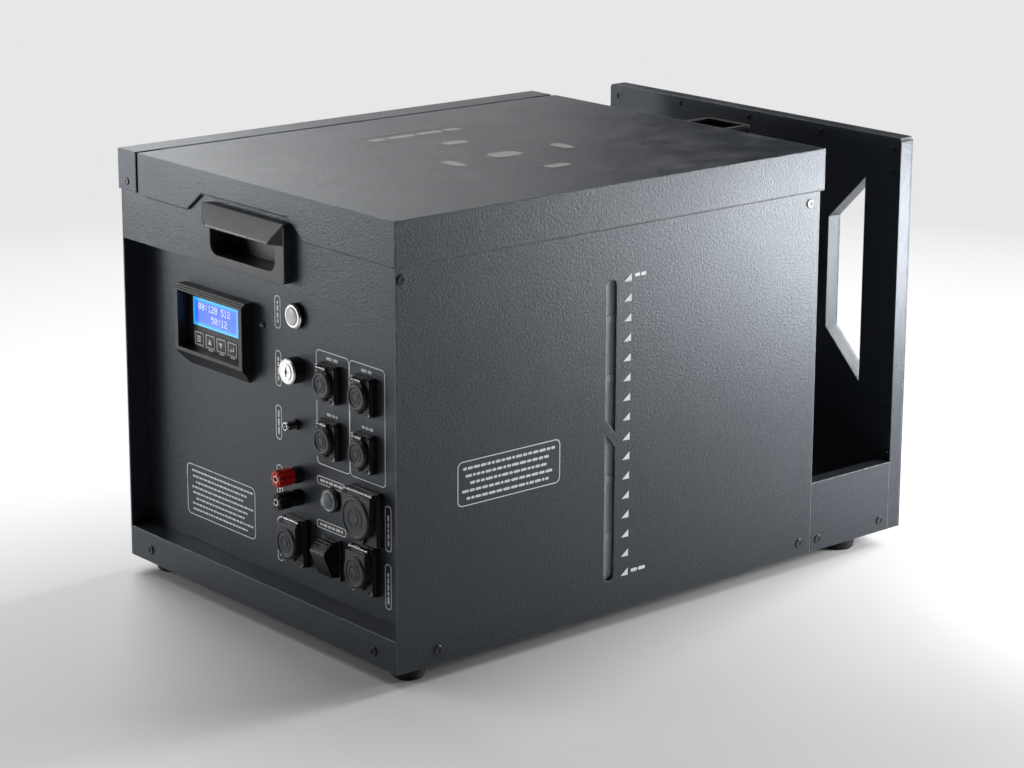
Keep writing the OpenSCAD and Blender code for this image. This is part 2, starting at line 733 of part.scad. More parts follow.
module key_barrel() {
    color("#c9ccd0") place() on_panel(col_a, lock_z) difference() {
        translate([0, 0, lock_out - 8.7]) disc(barrel_d / 2, 9.2);
        translate([0, 0, lock_out - 6]) {
            disc(1.6, 8);
            translate([-0.7, -4, 0]) cube([1.4, 8, 8]);
        }
    }
}
module aerial_socket() {
    color("#b8a15c") place() on_panel(aerial_x, aerial_z) difference() {
        union() {
            cylinder(r = 5, h = 2.4, $fn = 6);
            disc(aerial_r, 12);
            translate([0, 0, -10]) disc(aerial_neck_r, 10);
            translate([0, 0, -panel_t - 2]) cylinder(r = 5.4, h = 2, $fn = 6);
        }
        translate([0, 0, 6]) ring(2.3, 0.6, 6 + over);
    }
}
module status_lamp() {
    color("#40464c") place() on_panel(led_x, led_z) {
        translate([0, 0, -6]) disc(led_r, 6);
        disc(led_r + 0.8, 0.8);
        translate([0, 0, 0.8]) intersection() { sphere(led_r); translate([-3, -3, 0]) cube(6); }
    }
}

// Binding posts: an insulated base and a bored metal stud under a turning clamp nut
post_neck_r = 4;
post_stud_r = 3;
module post_place(s) { on_panel(col_a, post_z + s * post_pitch / 2) children(); }
module binding_posts() {
    for (s = [-1, 1]) {
        color("#1a1a1c") place() post_place(s) {
            ring(post_nut_d / 2, post_stud_r, post_base_l);
            translate([0, 0, -14]) ring(post_neck_r, post_stud_r, 14);
            translate([0, 0, -panel_t - 3]) ring(6.5, post_neck_r, 3);
        }
        color("gold") place() post_place(s) difference() {
            translate([0, 0, -22]) disc(post_stud_r, 22 + post_base_l + post_nut_l + 0.3);
            translate([0, 0, post_base_l + post_nut_l + 0.3 - plug_depth]) disc(plug_r, plug_depth + over);
        }
    }
}
flute_r = 1.6;
module post_nut(s, flutes) {
    place() post_place(s) translate([0, 0, post_base_l + fit_gap]) difference() {
        union() {
            disc(post_nut_d / 2 - flute_r * 0.75, post_nut_l - fit_gap);
            for (i = [0:flutes - 1]) rotate(i * 360 / flutes)
                translate([post_nut_d / 2 - flute_r, 0, 2]) disc(flute_r, post_nut_l - 3);
        }
        translate([0, 0, -over]) disc(post_stud_r + run_gap, post_nut_l + 2 * over);
    }
}
module post_nut_red() { color("#c81e1e") post_nut(1, 10); }
module post_nut_black() { color("#141416") post_nut(-1, 10); }

// Breaker with a reset button under a clear boot
breaker_neck_r = 8;
collar_h = 3.5;
boot_r = 6.2;
module breaker_body() {
    color("#c0c3c7") place() on_panel(col_b, breaker_z) difference() {
        union() {
            rotate_extrude() polygon([[0, 0], [breaker_d / 2, 0], [breaker_d / 2, collar_h - 1],
                [breaker_d / 2 - 1, collar_h], [0, collar_h]]);
            translate([0, 0, -16]) disc(breaker_neck_r, 16);
            translate([-8, -10, -44]) cube([16, 20, 28.5]);
        }
        translate([0, 0, -5]) disc(reset_r + fit_gap, 5 + collar_h + over);
    }
}
reset_r = 3.5;
module breaker_button() {
    color("#f2f2ee") place() on_panel(col_b, breaker_z) translate([0, 0, -4.7]) {
        disc(reset_r, 8.2);
        translate([0, 0, 8.2]) cylinder(r1 = reset_r, r2 = reset_r - 0.8, h = 0.8);
    }
}
module breaker_boot() {
    color([0.85, 0.9, 0.92, 0.5]) place() on_panel(col_b, breaker_z) translate([0, 0, collar_h]) difference() {
        union() {
            disc(breaker_d / 2 - 1.5, 1.2);
            intersection() { translate([0, 0, 1]) sphere(boot_r); disc(boot_r, 2 * boot_r); }
        }
        intersection() { translate([0, 0, 1]) sphere(boot_r - 1.2); translate([0, 0, -over]) disc(boot_r - 1.2, 2 * boot_r); }
        translate([0, 0, -over]) disc(boot_r - 1.2, 2 + over - 1);
    }
}
// Rocker switch
rocker_axis = 3;
rocker_rim = 3;
rocker_inner_w = rocker_w - 2 * rocker_rim;
rocker_inner_h = rocker_h - 2 * rocker_rim;
rocker_box_in = 2;
rocker_box_l = 22;
module rocker_frame() {
    color("#18191b") place() on_panel(col_b, rocker_z) difference() {
        union() {
            round_plate(rocker_w, rocker_h, 2, 2.5);
            translate([-rocker_w / 2 + rocker_box_in, -rocker_h / 2 + rocker_box_in, -rocker_box_l])
                cube([rocker_w - 2 * rocker_box_in, rocker_h - 2 * rocker_box_in, rocker_box_l]);
        }
        translate([-rocker_inner_w / 2, -rocker_inner_h / 2, -12]) cube([rocker_inner_w, rocker_inner_h, 20]);
    }
}
// The rocker's side view: a long lower face up to a ridge, then a short ribbed ramp that
// overhangs the frame
rocker_ridge = [6.2, 14.3];
rocker_rib_t = 1.3;
rocker_rib_pitch = 2.8;
module rocker_outline() {
    e = rocker_inner_h / 2 - fit_gap - 0.4;
    foot = [e + 2.4, 6.4];
    u = (rocker_ridge - foot) / norm(rocker_ridge - foot);
    ribs = [for (i = [0:3], k = [[0, 0], [0, 0.8], [1, 0.8], [1, 0]])
        foot + u * (1.2 + i * rocker_rib_pitch + k[0] * rocker_rib_t) + [u[1], -u[0]] * k[1]];
    polygon(concat([[-e, -2], [-3, -8], [3, -8], [e, -2], [e, 2.6], [foot[0], 3], foot], ribs,
        [rocker_ridge, rocker_ridge - [1.8, 0], [-e, 3.4]]));
}
module power_rocker() {
    w = rocker_inner_w - 2 * fit_gap;
    color("#101113") place() on_panel(col_b, rocker_z) translate([0, 0, rocker_axis]) rotate([-rocker_tilt, 0, 0])
        rotate([90, 0, 90]) translate([0, 0, -w / 2]) linear_extrude(w) rocker_outline();
}

// Flanged round sockets, each with a hinged cap
data_shell_r = 11.5;
power_shell_r = 12.5;
outlet_shell_r = 16;
cap_pin_r = 1;
ear_r = 2;
ear_w = 3;
module flanged_socket(w, h, out, shell_r, mouth_r, deep) {
    difference() {
        union() {
            round_plate(w, h, 3, out - 2);
            translate([0, 0, out - 2]) round_plate(w - 1.6, h - 1.6, 2.4, 2);
            translate([0, 0, -deep - 3]) disc(shell_r, deep + 3);
        }
        translate([0, 0, -deep]) disc(mouth_r, deep + out + over);
    }
    // Insert at the bottom of the mouth
    translate([0, 0, -deep]) disc(mouth_r - 2.6, 3);
}
// Two ears and a pin on the flange's top edge, at height y over the middle
module cap_ears(w, y, out) {
    for (s = [-1, 1]) translate([s * (w - ear_w) / 2 - ear_w / 2, y, out + ear_r]) {
        translate([0, -ear_r, -ear_r]) cube([ear_w, 2 * ear_r, ear_r]);
        rotate([0, 90, 0]) disc(ear_r, ear_w);
    }
    translate([-w / 2, y, out + ear_r]) rotate([0, 90, 0]) disc(cap_pin_r, w);
}
data_deep = 14;
power_deep = 16;
data_ears = 12;
power_ears = 24;
outlet_ears = 36;
data_hinge_y = data_h / 2 - ear_r;
power_hinge_y = power_h / 2 - ear_r;
outlet_hinge_y = outlet_h / 2 - ear_r;
module data_sockets() {
    color("#202225") place() for (p = data_spots) on_panel(p[0], p[1]) {
        flanged_socket(data_w, data_h, data_out, data_shell_r, data_mouth_r, data_deep);
        translate([0, 0, 3 - data_deep - 0.01]) for (a = [90, 210, 330]) rotate(a) translate([3.2, 0, 0]) disc(1, 7);
        cap_ears(data_ears, data_hinge_y, data_out);
    }
}
module power_sockets() {
    color("#202225") place() {
        for (p = power_spots) on_panel(p[0], p[1]) {
            flanged_socket(power_w, power_h, power_out, power_shell_r, power_mouth_r, power_deep);
            cap_ears(power_ears, power_hinge_y, power_out);
        }
        on_panel(power_col, outlet_z) {
            flanged_socket(outlet_w, outlet_h, power_out, outlet_shell_r, outlet_mouth_r, power_deep);
            cap_ears(outlet_ears, outlet_hinge_y, power_out);
        }
    }
}
// A cap: a dished disc that runs up in a teardrop to its hinge barrel, with a lift tab below
cap_rim = 1.6;
module socket_cap(d, t, out, hinge_y, ears, tab_w) {
    r = d / 2;
    barrel_w = ears - 2 * ear_w - 2 * fit_gap;
    shoulder = [ears / 2, hinge_y - ear_r - fit_gap - 0.2];
    // Direction of the point where a line from the shoulder touches the disc
    a = atan2(shoulder[0], shoulder[1]) + acos(r / norm(shoulder));
    foot = 0.96 * r * [sin(a), cos(a)];
    translate([0, 0, out + fit_gap]) {
        rotate_extrude() polygon([[0, 0], [r, 0], [r, t - 1.2], [r - 1.2, t], [r - 1.2 - cap_rim, t],
            [r - 2 - cap_rim, t - 0.8], [0, t - 0.8]]);
        linear_extrude(t - cap_rim) polygon([shoulder, foot, [-foot[0], foot[1]], [-shoulder[0], shoulder[1]]]);
        translate([0, 1 - r, 0]) disc(tab_w / 2, 2);
    }
    difference() {
        union() {
            translate([-barrel_w / 2, r * 0.5, out + fit_gap]) cube([barrel_w, hinge_y - r * 0.5, min(3, t - cap_rim - 0.2)]);
            translate([-barrel_w / 2, hinge_y, out + ear_r]) rotate([0, 90, 0]) disc(ear_r - fit_gap, barrel_w);
        }
        translate([-barrel_w, hinge_y, out + ear_r]) rotate([0, 90, 0]) disc(cap_pin_r + run_gap, 2 * barrel_w);
    }
}
module data_cap(i) {
    color("#26282b") place() on_panel(data_spots[i][0], data_spots[i][1])
        socket_cap(data_cap_d, 4, data_out, data_hinge_y, data_ears, 7);
}
module data_cap_1() { data_cap(0); }
module data_cap_2() { data_cap(1); }
module data_cap_3() { data_cap(2); }
module data_cap_4() { data_cap(3); }
module power_cap(p) {
    color("#26282b") place() on_panel(p[0], p[1])
        socket_cap(power_cap_d, 8, power_out, power_hinge_y, power_ears, 9);
}
module power_cap_1() { power_cap(power_spots[0]); }
module power_cap_2() { power_cap(power_spots[1]); }
module power_cap_3() {
    color("#26282b") place() on_panel(power_col, outlet_z)
        socket_cap(outlet_cap_d, 7, power_out, outlet_hinge_y, outlet_ears, 11);
}

// Fuel system
tank_mid_x = tank_x + tank_w / 2;
spout_x = tank_mid_x - 20;
spout_l = 8;
module fuel_tank() {
    color([0.82, 0.84, 0.84, 0.9]) place() difference() {
        union() {
            translate([tank_mid_x, tank_y + tank_l / 2, sheet]) round_plate(tank_w, tank_l, 12, tank_h);
            translate([tank_mid_x, neck_y, tank_top - over]) disc(neck_r, neck_h + over);
            along_y(spout_x, tank_y + tank_l, pump_z) disc(hose_r + 2, spout_l);
        }
        translate([tank_mid_x, tank_y + tank_l / 2, sheet + tank_wall])
            round_plate(tank_w - 2 * tank_wall, tank_l - 2 * tank_wall, 12 - tank_wall, tank_h - 2 * tank_wall);
        translate([tank_mid_x, neck_y, tank_top - tank_wall - over]) disc(neck_r - 3, neck_h + tank_wall + 2 * over);
        along_y(spout_x, tank_y + tank_l - tank_wall - over, pump_z)
            disc(hose_r - 1, spout_l + tank_wall + 2 * over);
    }
}
module tank_cap() {
    ribs = 24;
    color("#b3261e") place() translate([tank_mid_x, neck_y, tank_top + neck_h + fit_gap]) difference() {
        union() {
            translate([0, 0, 3 - cap_h + 2]) disc(neck_r + 4, cap_h - 2);
            for (i = [0:ribs - 1]) rotate(i * 360 / ribs) translate([neck_r + 4, 0, 3 - cap_h + 2]) disc(1, cap_h - 4);
        }
        translate([0, 0, 3 - cap_h + 1]) disc(neck_r + fit_gap, cap_h - 4);
    }
}
pump_x = -20;
pump_y = 205;
pump_z = sheet + 40;
pump_nose = 14;
pump_tail = 12;
band_w = 6;
pump_bands = [10, pump_l - 10 - band_w];
module along_y(x, y, z) { translate([x, y, z]) rotate([-90, 0, 0]) children(); }
module fuel_pump() {
    color("#7d8288") place() {
        along_y(pump_x, pump_y, pump_z) {
            disc(pump_r, pump_l);
            translate([0, 0, -pump_nose]) disc(pump_r * 0.6, pump_nose);
            translate([0, 0, pump_l]) disc(pump_r * 0.5, pump_tail);
            for (s = pump_bands) translate([0, 0, s]) disc(pump_r + 2, band_w);
        }
        // Saddle bracket on the floor
        for (s = pump_bands)
            block([pump_x - pump_r, pump_y + s, sheet + 2], [2 * pump_r, band_w, pump_z - pump_r * 0.8 - sheet]);
        block([pump_x - pump_r - 8, pump_y + 4, sheet], [2 * pump_r + 16, pump_l - 8, 2]);
    }
}
valve_back = 38;
valve_y = bulk_in - valve_back - valve_l;
valve_side = 34;
valve_x = tank_x - valve_side;
valve_out_z = sheet + 22;
solenoid_h = 34;
module fuel_valve() {
    color("#b59a4a") place() {
        block([valve_x - valve_w / 2, valve_y, sheet], [valve_w, valve_l, valve_h]);
        translate([valve_x, valve_y + valve_l / 2, sheet + valve_h]) {
            disc(valve_l * 0.4, solenoid_h);
            translate([0, 0, solenoid_h]) disc(4, 5);
        }
    }
}
// A quarter bend of hose, from the +X axis round to the +Y axis
module quarter_bend() {
    reach = bend_r + hose_r + over;
    intersection() {
        rotate_extrude() translate([bend_r, 0]) circle(hose_r);
        translate([0, 0, -hose_r - over]) cube([reach, reach, 2 * (hose_r + over)]);
    }
}
// A hose through a list of points: straight runs along the axes, joined by quarter bends
module hose(pts) {
    n = len(pts) - 1;
    d = [for (i = [0:n - 1]) (pts[i + 1] - pts[i]) / norm(pts[i + 1] - pts[i])];
    trim = [for (i = [0:n]) i == 0 || i == n ? 0 : bend_r];
    for (i = [0:n - 1]) translate(pts[i] + d[i] * trim[i])
        rotate([0, acos(d[i][2]), atan2(d[i][1], d[i][0])])
            disc(hose_r, norm(pts[i + 1] - pts[i]) - trim[i] - trim[i + 1]);
    for (i = [1:n - 1]) {
        axis = cross(-d[i], d[i - 1]);
        centre = pts[i] + (d[i] - d[i - 1]) * bend_r;
        multmatrix([for (k = [0:2]) [-d[i][k], d[i - 1][k], axis[k], centre[k]]]) quarter_bend();
    }
}
shaft_in_y = pulley_y - 10;
hose_stub = 24;
valve_stub = 18;
lane_side = 49;
lane_x = tank_x - lane_side;
filter_r = 13;
filter_y = pump_y - 70;
module fuel_lines() {
    tank_out = [spout_x, tank_y + tank_l + spout_l, pump_z];
    color("#1c1d1f") place() {
        // Tank to filter, round the pump's inlet end
        hose([tank_out, tank_out + [0, hose_stub, 0], [lane_x, tank_out[1] + hose_stub, pump_z],
            [lane_x, filter_y - hose_stub, pump_z], [pump_x, filter_y - hose_stub, pump_z],
            [pump_x, filter_y, pump_z]]);
        // Filter to pump
        hose([[pump_x, filter_y + filter_l, pump_z], [pump_x, pump_y - pump_nose, pump_z]]);
        // Pump to valve
        hose([[pump_x, pump_y + pump_l + pump_tail, pump_z], [pump_x, valve_y + valve_l / 2, pump_z],
            [valve_x - valve_w / 2, valve_y + valve_l / 2, pump_z]]);
        // Valve to the rotary joint on the shaft's inner end
        hose([[valve_x, valve_y, valve_out_z], [valve_x, valve_y - valve_stub, valve_out_z],
            [valve_x, valve_y - valve_stub, pivot_z], [0, valve_y - valve_stub, pivot_z],
            [0, shaft_in_y - fit_gap, pivot_z]]);
    }
    // In-line filter
    color("#9aa0a6") place() along_y(pump_x, filter_y, pump_z) {
        disc(filter_r, filter_l);
        translate([0, 0, filter_l / 3]) disc(filter_r + 1.5, filter_l / 3);
    }
}

// Electrics
supply_y = 70;
supply_z = 60;
vent_l = 6;
vent_pitch = 18;
module power_supply() {
    x0 = -in_x;
    color("#9da1a5") place() {
        difference() {
            block([x0, supply_y, supply_z], [supply_w, supply_l, supply_h]);
            // Vent slots, as many as the length holds
            for (y = [20:vent_pitch:supply_l - 30])
                block([x0 + supply_w - 1, supply_y + y, supply_z + 15], [1 + over, vent_l, supply_h - 30]);
        }
        // Terminal block
        block([x0 + 6, supply_y + supply_l, supply_z + 6], [supply_w - 16, 14, 20]);
    }
}
board_side = 63.5;
board_x = board_side - in_x;
board_y = 62;
board_up = 8;
board_t = 1.6;
board_in = 6;
chip_w = 26;
choke_w = 18;
choke_l = 50;
can_r = 6;
can_pitch = 22;
can_h = 16;
strip_in = 28;
module control_board() {
    color("#1f5c34") place() {
        block([board_x, board_y, sheet + board_up], [board_w, board_l, board_t]);
        for (x = [board_in, board_w - board_in], y = [board_in, board_l - board_in])
            translate([board_x + x, board_y + y, sheet]) disc(3, board_up);
        // Processor, choke, capacitors and terminal strip
        translate([board_x, board_y, sheet + board_up + board_t]) {
            block([20, 20, 0], [chip_w, chip_w, 3]);
            block([60, 14, 0], [choke_w, choke_l, can_h - 2]);
            for (i = [0:2]) translate([board_w - strip_in - can_h, 20 + i * can_pitch, 0]) disc(can_r, can_h);
            block([board_w - strip_in, 10, 0], [10, board_l - 24, 11]);
        }
    }
}
coil_side = 33.5;
coil_x = coil_side - in_x;
coil_back = 24.5;
coil_y = bulk_in - coil_back - coil_l;
coil_lug = 8;
coil_foot_l = 28;
tower_r = 7;
tower_h = 14;
module ignition_coil() {
    color("#2a2320") place() {
        block([coil_x, coil_y, sheet], [coil_w, coil_l, coil_h]);
        for (x = [coil_w / 4, coil_w * 3 / 4]) translate([coil_x + x, coil_y + coil_l / 2, sheet + coil_h])
            disc(tower_r, tower_h);
        block([coil_x - coil_lug, coil_y + (coil_l - coil_foot_l) / 2, sheet],
            [coil_w + 2 * coil_lug, coil_foot_l, 3]);
    }
}

// Swing drive
module swing_motor() {
    y1 = pulley_y - 3;
    // Can, with a round boss, and the mounting bracket on four pillars
    color("#2d2f33") place() difference() {
        union() {
            along_y(0, y1 - bracket_t - motor_l, motor_z) linear_extrude(motor_l) difference() {
                square(motor_w, center = true);
                for (sx = [-1, 1], sy = [-1, 1]) translate([sx * motor_w / 2, sy * motor_w / 2]) rotate(45)
                    square(7, center = true);
            }
            along_y(0, y1 - bracket_t, motor_z) linear_extrude(bracket_t) square(motor_w + 18, center = true);
            for (sx = [-1, 1], sz = [-1, 1]) along_y(sx * (motor_w / 2 + 4), y1 - over, motor_z + sz * (motor_w / 2 + 4))
                disc(4, bulk_in - y1 + over);
        }
        along_y(0, y1 - 14, motor_z) disc(motor_shaft_r + run_gap, 30);
    }
}
motor_shaft_r = 3.2;
module pulley(r, bore) {
    difference() {
        union() {
            disc(r - belt_t / 2 - fit_gap, pulley_w);
            for (z = [0, pulley_w - pulley_flange]) translate([0, 0, z]) disc(r + belt_t, pulley_flange);
        }
        if (bore > 0) translate([0, 0, -over]) disc(bore, pulley_w + 2 * over);
    }
}
module motor_pulley() {
    color("silver") place() along_y(0, pulley_y, motor_z) {
        pulley(motor_pulley_r, 0);
        translate([0, 0, -16.7]) disc(motor_shaft_r, 17);
    }
}
// Hollow shaft that runs from the rotary joint through both bearings
module swing_shaft() {
    color("silver") place() {
        along_y(0, shaft_in_y, pivot_z) difference() {
            disc(shaft_r, guard_y - shaft_in_y - 3);
            translate([0, 0, -over]) disc(3, bay_mid - shaft_in_y + over);
        }
        along_y(0, pulley_y, pivot_z) pulley(pulley_r, shaft_r);
        // Spacer collars between the hood and the bearings
        for (s = [-1, 1]) along_y(0, bay_mid + s * (hood_w / 2 + 2) - 2, pivot_z) ring(shaft_r + 4, shaft_r, 4);
    }
}
// Flat belt outline: two discs and the quadrilateral through their tangent points
module belt_outline(g) {
    ra = pulley_r + g;
    rb = motor_pulley_r + g;
    a = acos((ra - rb) / pulley_span);
    circle(ra);
    translate([0, -pulley_span]) circle(rb);
    polygon([[ra * sin(a), -ra * cos(a)], [-ra * sin(a), -ra * cos(a)],
        [-rb * sin(a), -pulley_span - rb * cos(a)], [rb * sin(a), -pulley_span - rb * cos(a)]]);
}
module swing_belt() {
    color("#111111") place() slab_y(pulley_y + pulley_flange + 0.5, belt_w) translate([0, pivot_z]) difference() {
        belt_outline(belt_t / 2);
        belt_outline(-belt_t / 2);
    }
}
bearing_wall = 6;
bearing_lip = 6;
bearing_lip_t = 4;
bolt_r = 2.6;
bolt_h = 2;
module flange_bearing() {
    difference() {
        union() {
            disc(shaft_r + bearing_wall + bearing_lip, bearing_lip_t);
            disc(shaft_r + bearing_wall, bearing_t);
            for (a = [0:90:270]) rotate(a + 45)
                translate([shaft_r + bearing_wall + bearing_lip / 2, 0, bearing_lip_t])
                    cylinder(r = bolt_r, h = bolt_h, $fn = 6);
        }
        translate([0, 0, -over]) disc(shaft_r + run_gap, bearing_t + 2 * over);
    }
}
module shaft_bearings() {
    color("#6f7479") place() {
        translate([0, bulk_in, pivot_z]) rotate([90, 0, 0]) flange_bearing();
        translate([0, guard_y, pivot_z]) rotate([90, 0, 0]) flange_bearing();
    }
}

// Swing head
module nozzle_hood() {
    r = 6;
    color("#2a2b2d") place() difference() {
        translate([0, bay_mid, pivot_z - hood_down]) difference() {
            round_plate(hood_w, hood_w, r, hood_down + hood_up);
            translate([0, 0, hood_wall]) round_plate(hood_w - 2 * hood_wall, hood_w - 2 * hood_wall,
                r - hood_wall, hood_down + hood_up - 2 * hood_wall);
            // Square mouth inside the rim
            translate([0, 0, hood_down + hood_up - hood_wall - over])
                round_plate(hood_w - 2 * hood_rim, hood_w - 2 * hood_rim, 2, hood_wall + 2 * over);
            // Air holes low in the two outer walls
            for (i = [-1, 0, 1], z = [52, 70]) translate([-hood_w, i * 14, z]) rotate([0, 90, 0]) disc(4, 2 * hood_w);
        }
        along_y(0, bay_mid - hood_w, pivot_z) disc(shaft_r, 2 * hood_w);
    }
}
clamp_below = 14;
clamp_above = 8;
block_top = pivot_z + shaft_r + clamp_above;
nozzle_r = 9;
nozzle_h = 26;
nozzle_tip_h = 10;
nozzle_hole_r = 1;
nozzle_nut_r = 12;
nozzle_nut_h = 8;
module nozzle_block() {
    w = hood_w - 2 * hood_wall;
    color("#b59a4a") place() {
        // Clamp block round the shaft, filling the hood from wall to wall
        difference() {
            block([-w / 2, bay_mid - w / 4, pivot_z - clamp_below], [w, w / 2, clamp_below + shaft_r + clamp_above]);
            along_y(0, bay_mid - w, pivot_z) disc(shaft_r, 2 * w);
        }
        // Nozzle body and tip
        translate([0, bay_mid, block_top]) difference() {
            union() {
                disc(nozzle_r, nozzle_h);
                translate([0, 0, nozzle_h]) cylinder(r1 = 7, r2 = 3.5, h = nozzle_tip_h);
                cylinder(r = nozzle_nut_r, h = nozzle_nut_h, $fn = 6);
            }
            translate([0, 0, nozzle_h - 6]) disc(nozzle_hole_r, nozzle_tip_h + 6 + over);
        }
    }
}
spark_x = 17;
spark_r = 3.5;
spark_h = 30;
wire_r = 1;
wire_up = 16;
wire_in = 12;
module spark_electrodes() {
    for (s = [-1, 1]) {
        color("white") place() translate([s * spark_x, bay_mid, block_top]) disc(spark_r, spark_h);
        // Wire that rises from the insulator and turns in over the nozzle
        color("silver") place() translate([s * spark_x, bay_mid, block_top + spark_h]) {
            disc(wire_r, wire_up);
            translate([0, 0, wire_up]) {
                sphere(wire_r);
                rotate([0, -s * 90, 0]) disc(wire_r, wire_in);
            }
        }
    }
}

base_tray();
side_panel_right();
side_panel_left();
front_band();
control_panel();
rear_bulkhead();
bay_side_plates();
guard_pan();
guard_back();
hinge_cover();
lid();
front_handle();
rubber_feet();
case_screws();
display_bezel();
display_module();
display_glass();
menu_key_1();
menu_key_2();
menu_key_3();
menu_key_4();
start_button_ring();
start_button_cap();
key_switch_body();
key_barrel();
aerial_socket();
status_lamp();
binding_posts();
post_nut_red();
post_nut_black();
breaker_body();
breaker_button();
breaker_boot();
rocker_frame();
power_rocker();
data_sockets();
data_cap_1();
data_cap_2();
data_cap_3();
data_cap_4();
power_sockets();
power_cap_1();
power_cap_2();
power_cap_3();
fuel_tank();
tank_cap();
fuel_pump();
fuel_valve();
fuel_lines();
power_supply();
control_board();
ignition_coil();
swing_motor();
motor_pulley();
swing_shaft();
swing_belt();
shaft_bearings();
nozzle_hood();
nozzle_block();
spark_electrodes();
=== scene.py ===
"""Looks for the stage flame machine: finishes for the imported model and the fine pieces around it.

Every piece is a surface worked out with numpy in millimetres on a local seat (right, up, out),
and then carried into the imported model's frame in metres.
"""

import json
import math

import bpy
import numpy as np
from bpy.props import FloatProperty, FloatVectorProperty, PointerProperty
from mathutils import Matrix, Vector


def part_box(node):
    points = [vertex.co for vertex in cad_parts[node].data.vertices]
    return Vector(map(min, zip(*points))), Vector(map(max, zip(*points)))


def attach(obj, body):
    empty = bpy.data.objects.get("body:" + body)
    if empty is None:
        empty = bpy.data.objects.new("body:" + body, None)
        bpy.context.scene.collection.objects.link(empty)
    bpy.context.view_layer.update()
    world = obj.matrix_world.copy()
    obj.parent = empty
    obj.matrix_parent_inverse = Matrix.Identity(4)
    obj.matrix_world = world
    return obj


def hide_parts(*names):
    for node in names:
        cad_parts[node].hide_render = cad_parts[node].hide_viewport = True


bl_info = {
    "name": "Stage flame machine",
    "version": (1, 0, 0),
    "blender": (4, 5, 0),
    "location": "3D View > Sidebar > Flame machine",
    "description": "Finishes, fine pieces and stage for a stage flame machine",
    "category": "Object",
}

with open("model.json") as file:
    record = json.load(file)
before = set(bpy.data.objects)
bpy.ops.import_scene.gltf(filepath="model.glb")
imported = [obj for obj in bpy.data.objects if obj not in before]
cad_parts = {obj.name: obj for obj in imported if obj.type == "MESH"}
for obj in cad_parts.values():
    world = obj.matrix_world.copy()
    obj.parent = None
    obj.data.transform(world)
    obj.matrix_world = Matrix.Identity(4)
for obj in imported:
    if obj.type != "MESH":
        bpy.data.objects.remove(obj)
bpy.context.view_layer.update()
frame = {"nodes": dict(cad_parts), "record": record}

MM = 0.001
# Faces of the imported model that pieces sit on, in metres
FRONT_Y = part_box("front_band")[0].y
BASE_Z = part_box("base_tray")[0].z
PANEL_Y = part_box("control_panel")[0].y
SIDE_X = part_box("side_panel_right")[1].x
LID_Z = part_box("lid")[1].z
SINK = 0.02  # how far a print reaches into what carries it, in mm
SHARP = math.radians(32)


# Properties


class FlameFinishes(bpy.types.PropertyGroup):
    """Colours of the finishes."""

    paint: FloatVectorProperty(
        name="Powder coat",
        description="Colour of the textured powder coat on the case",
        subtype="COLOR",
        size=3,
        min=0,
        max=1,
        default=(0.017, 0.020, 0.025),
    )
    moulding: FloatVectorProperty(
        name="Mouldings",
        description="Colour of the black mouldings and castings",
        subtype="COLOR",
        size=3,
        min=0,
        max=1,
        default=(0.017, 0.018, 0.019),
    )
    ink: FloatVectorProperty(
        name="Print",
        description="Colour of the screen print on the panels",
        subtype="COLOR",
        size=3,
        min=0,
        max=1,
        default=(0.8, 0.82, 0.82),
    )
    screen: FloatVectorProperty(
        name="Display",
        description="Colour of the display's backlight",
        subtype="COLOR",
        size=3,
        min=0,
        max=1,
        default=(0.03, 0.13, 0.9),
    )
    red: FloatVectorProperty(
        name="Red plastic",
        description="Colour of the red terminal nut and the tank cap",
        subtype="COLOR",
        size=3,
        min=0,
        max=1,
        default=(0.62, 0.012, 0.01),
    )


class FlameSizes(bpy.types.PropertyGroup):
    """Sizes of the fine pieces."""

    line: FloatProperty(
        name="Print line",
        description="Width of the printed outlines",
        subtype="DISTANCE",
        unit="LENGTH",
        default=0.0008,
        min=0.0004,
        max=0.0015,
    )
    film: FloatProperty(
        name="Print film",
        description="Thickness of the ink film",
        subtype="DISTANCE",
        unit="LENGTH",
        default=0.00006,
        min=0.00002,
        max=0.0002,
    )
    wire: FloatProperty(
        name="Wire",
        description="Diameter of a wire in the looms",
        subtype="DISTANCE",
        unit="LENGTH",
        default=0.0024,
        min=0.001,
        max=0.004,
    )


# Seats: a 4 by 4 matrix whose columns are right, up, out and the origin, in metres


def seat(origin, right, up):
    m = np.eye(4)
    m[:3, 0], m[:3, 1] = right, up
    m[:3, 2] = np.cross(right, up)
    m[:3, 3] = origin
    return m


def on_panel(x, z, out=0.0):
    return seat((x * MM, PANEL_Y - out * MM, BASE_Z + z * MM), (1, 0, 0), (0, 0, 1))


def on_side(y, z, out=0.0):
    return seat((SIDE_X + out * MM, FRONT_Y + y * MM, BASE_Z + z * MM), (0, 1, 0), (0, 0, 1))


def on_lid(x, y, out=0.0):
    return seat((x * MM, FRONT_Y + y * MM, LID_Z + out * MM), (1, 0, 0), (0, 1, 0))


def standing(x, y, z):
    return seat((x * MM, FRONT_Y + y * MM, BASE_Z + z * MM), (1, 0, 0), (0, 1, 0))


def facing_rear(x, y, z):
    return seat((x * MM, FRONT_Y + y * MM, BASE_Z + z * MM), (1, 0, 0), (0, 0, -1))


# Surfaces, each a pair of points in mm and triangles


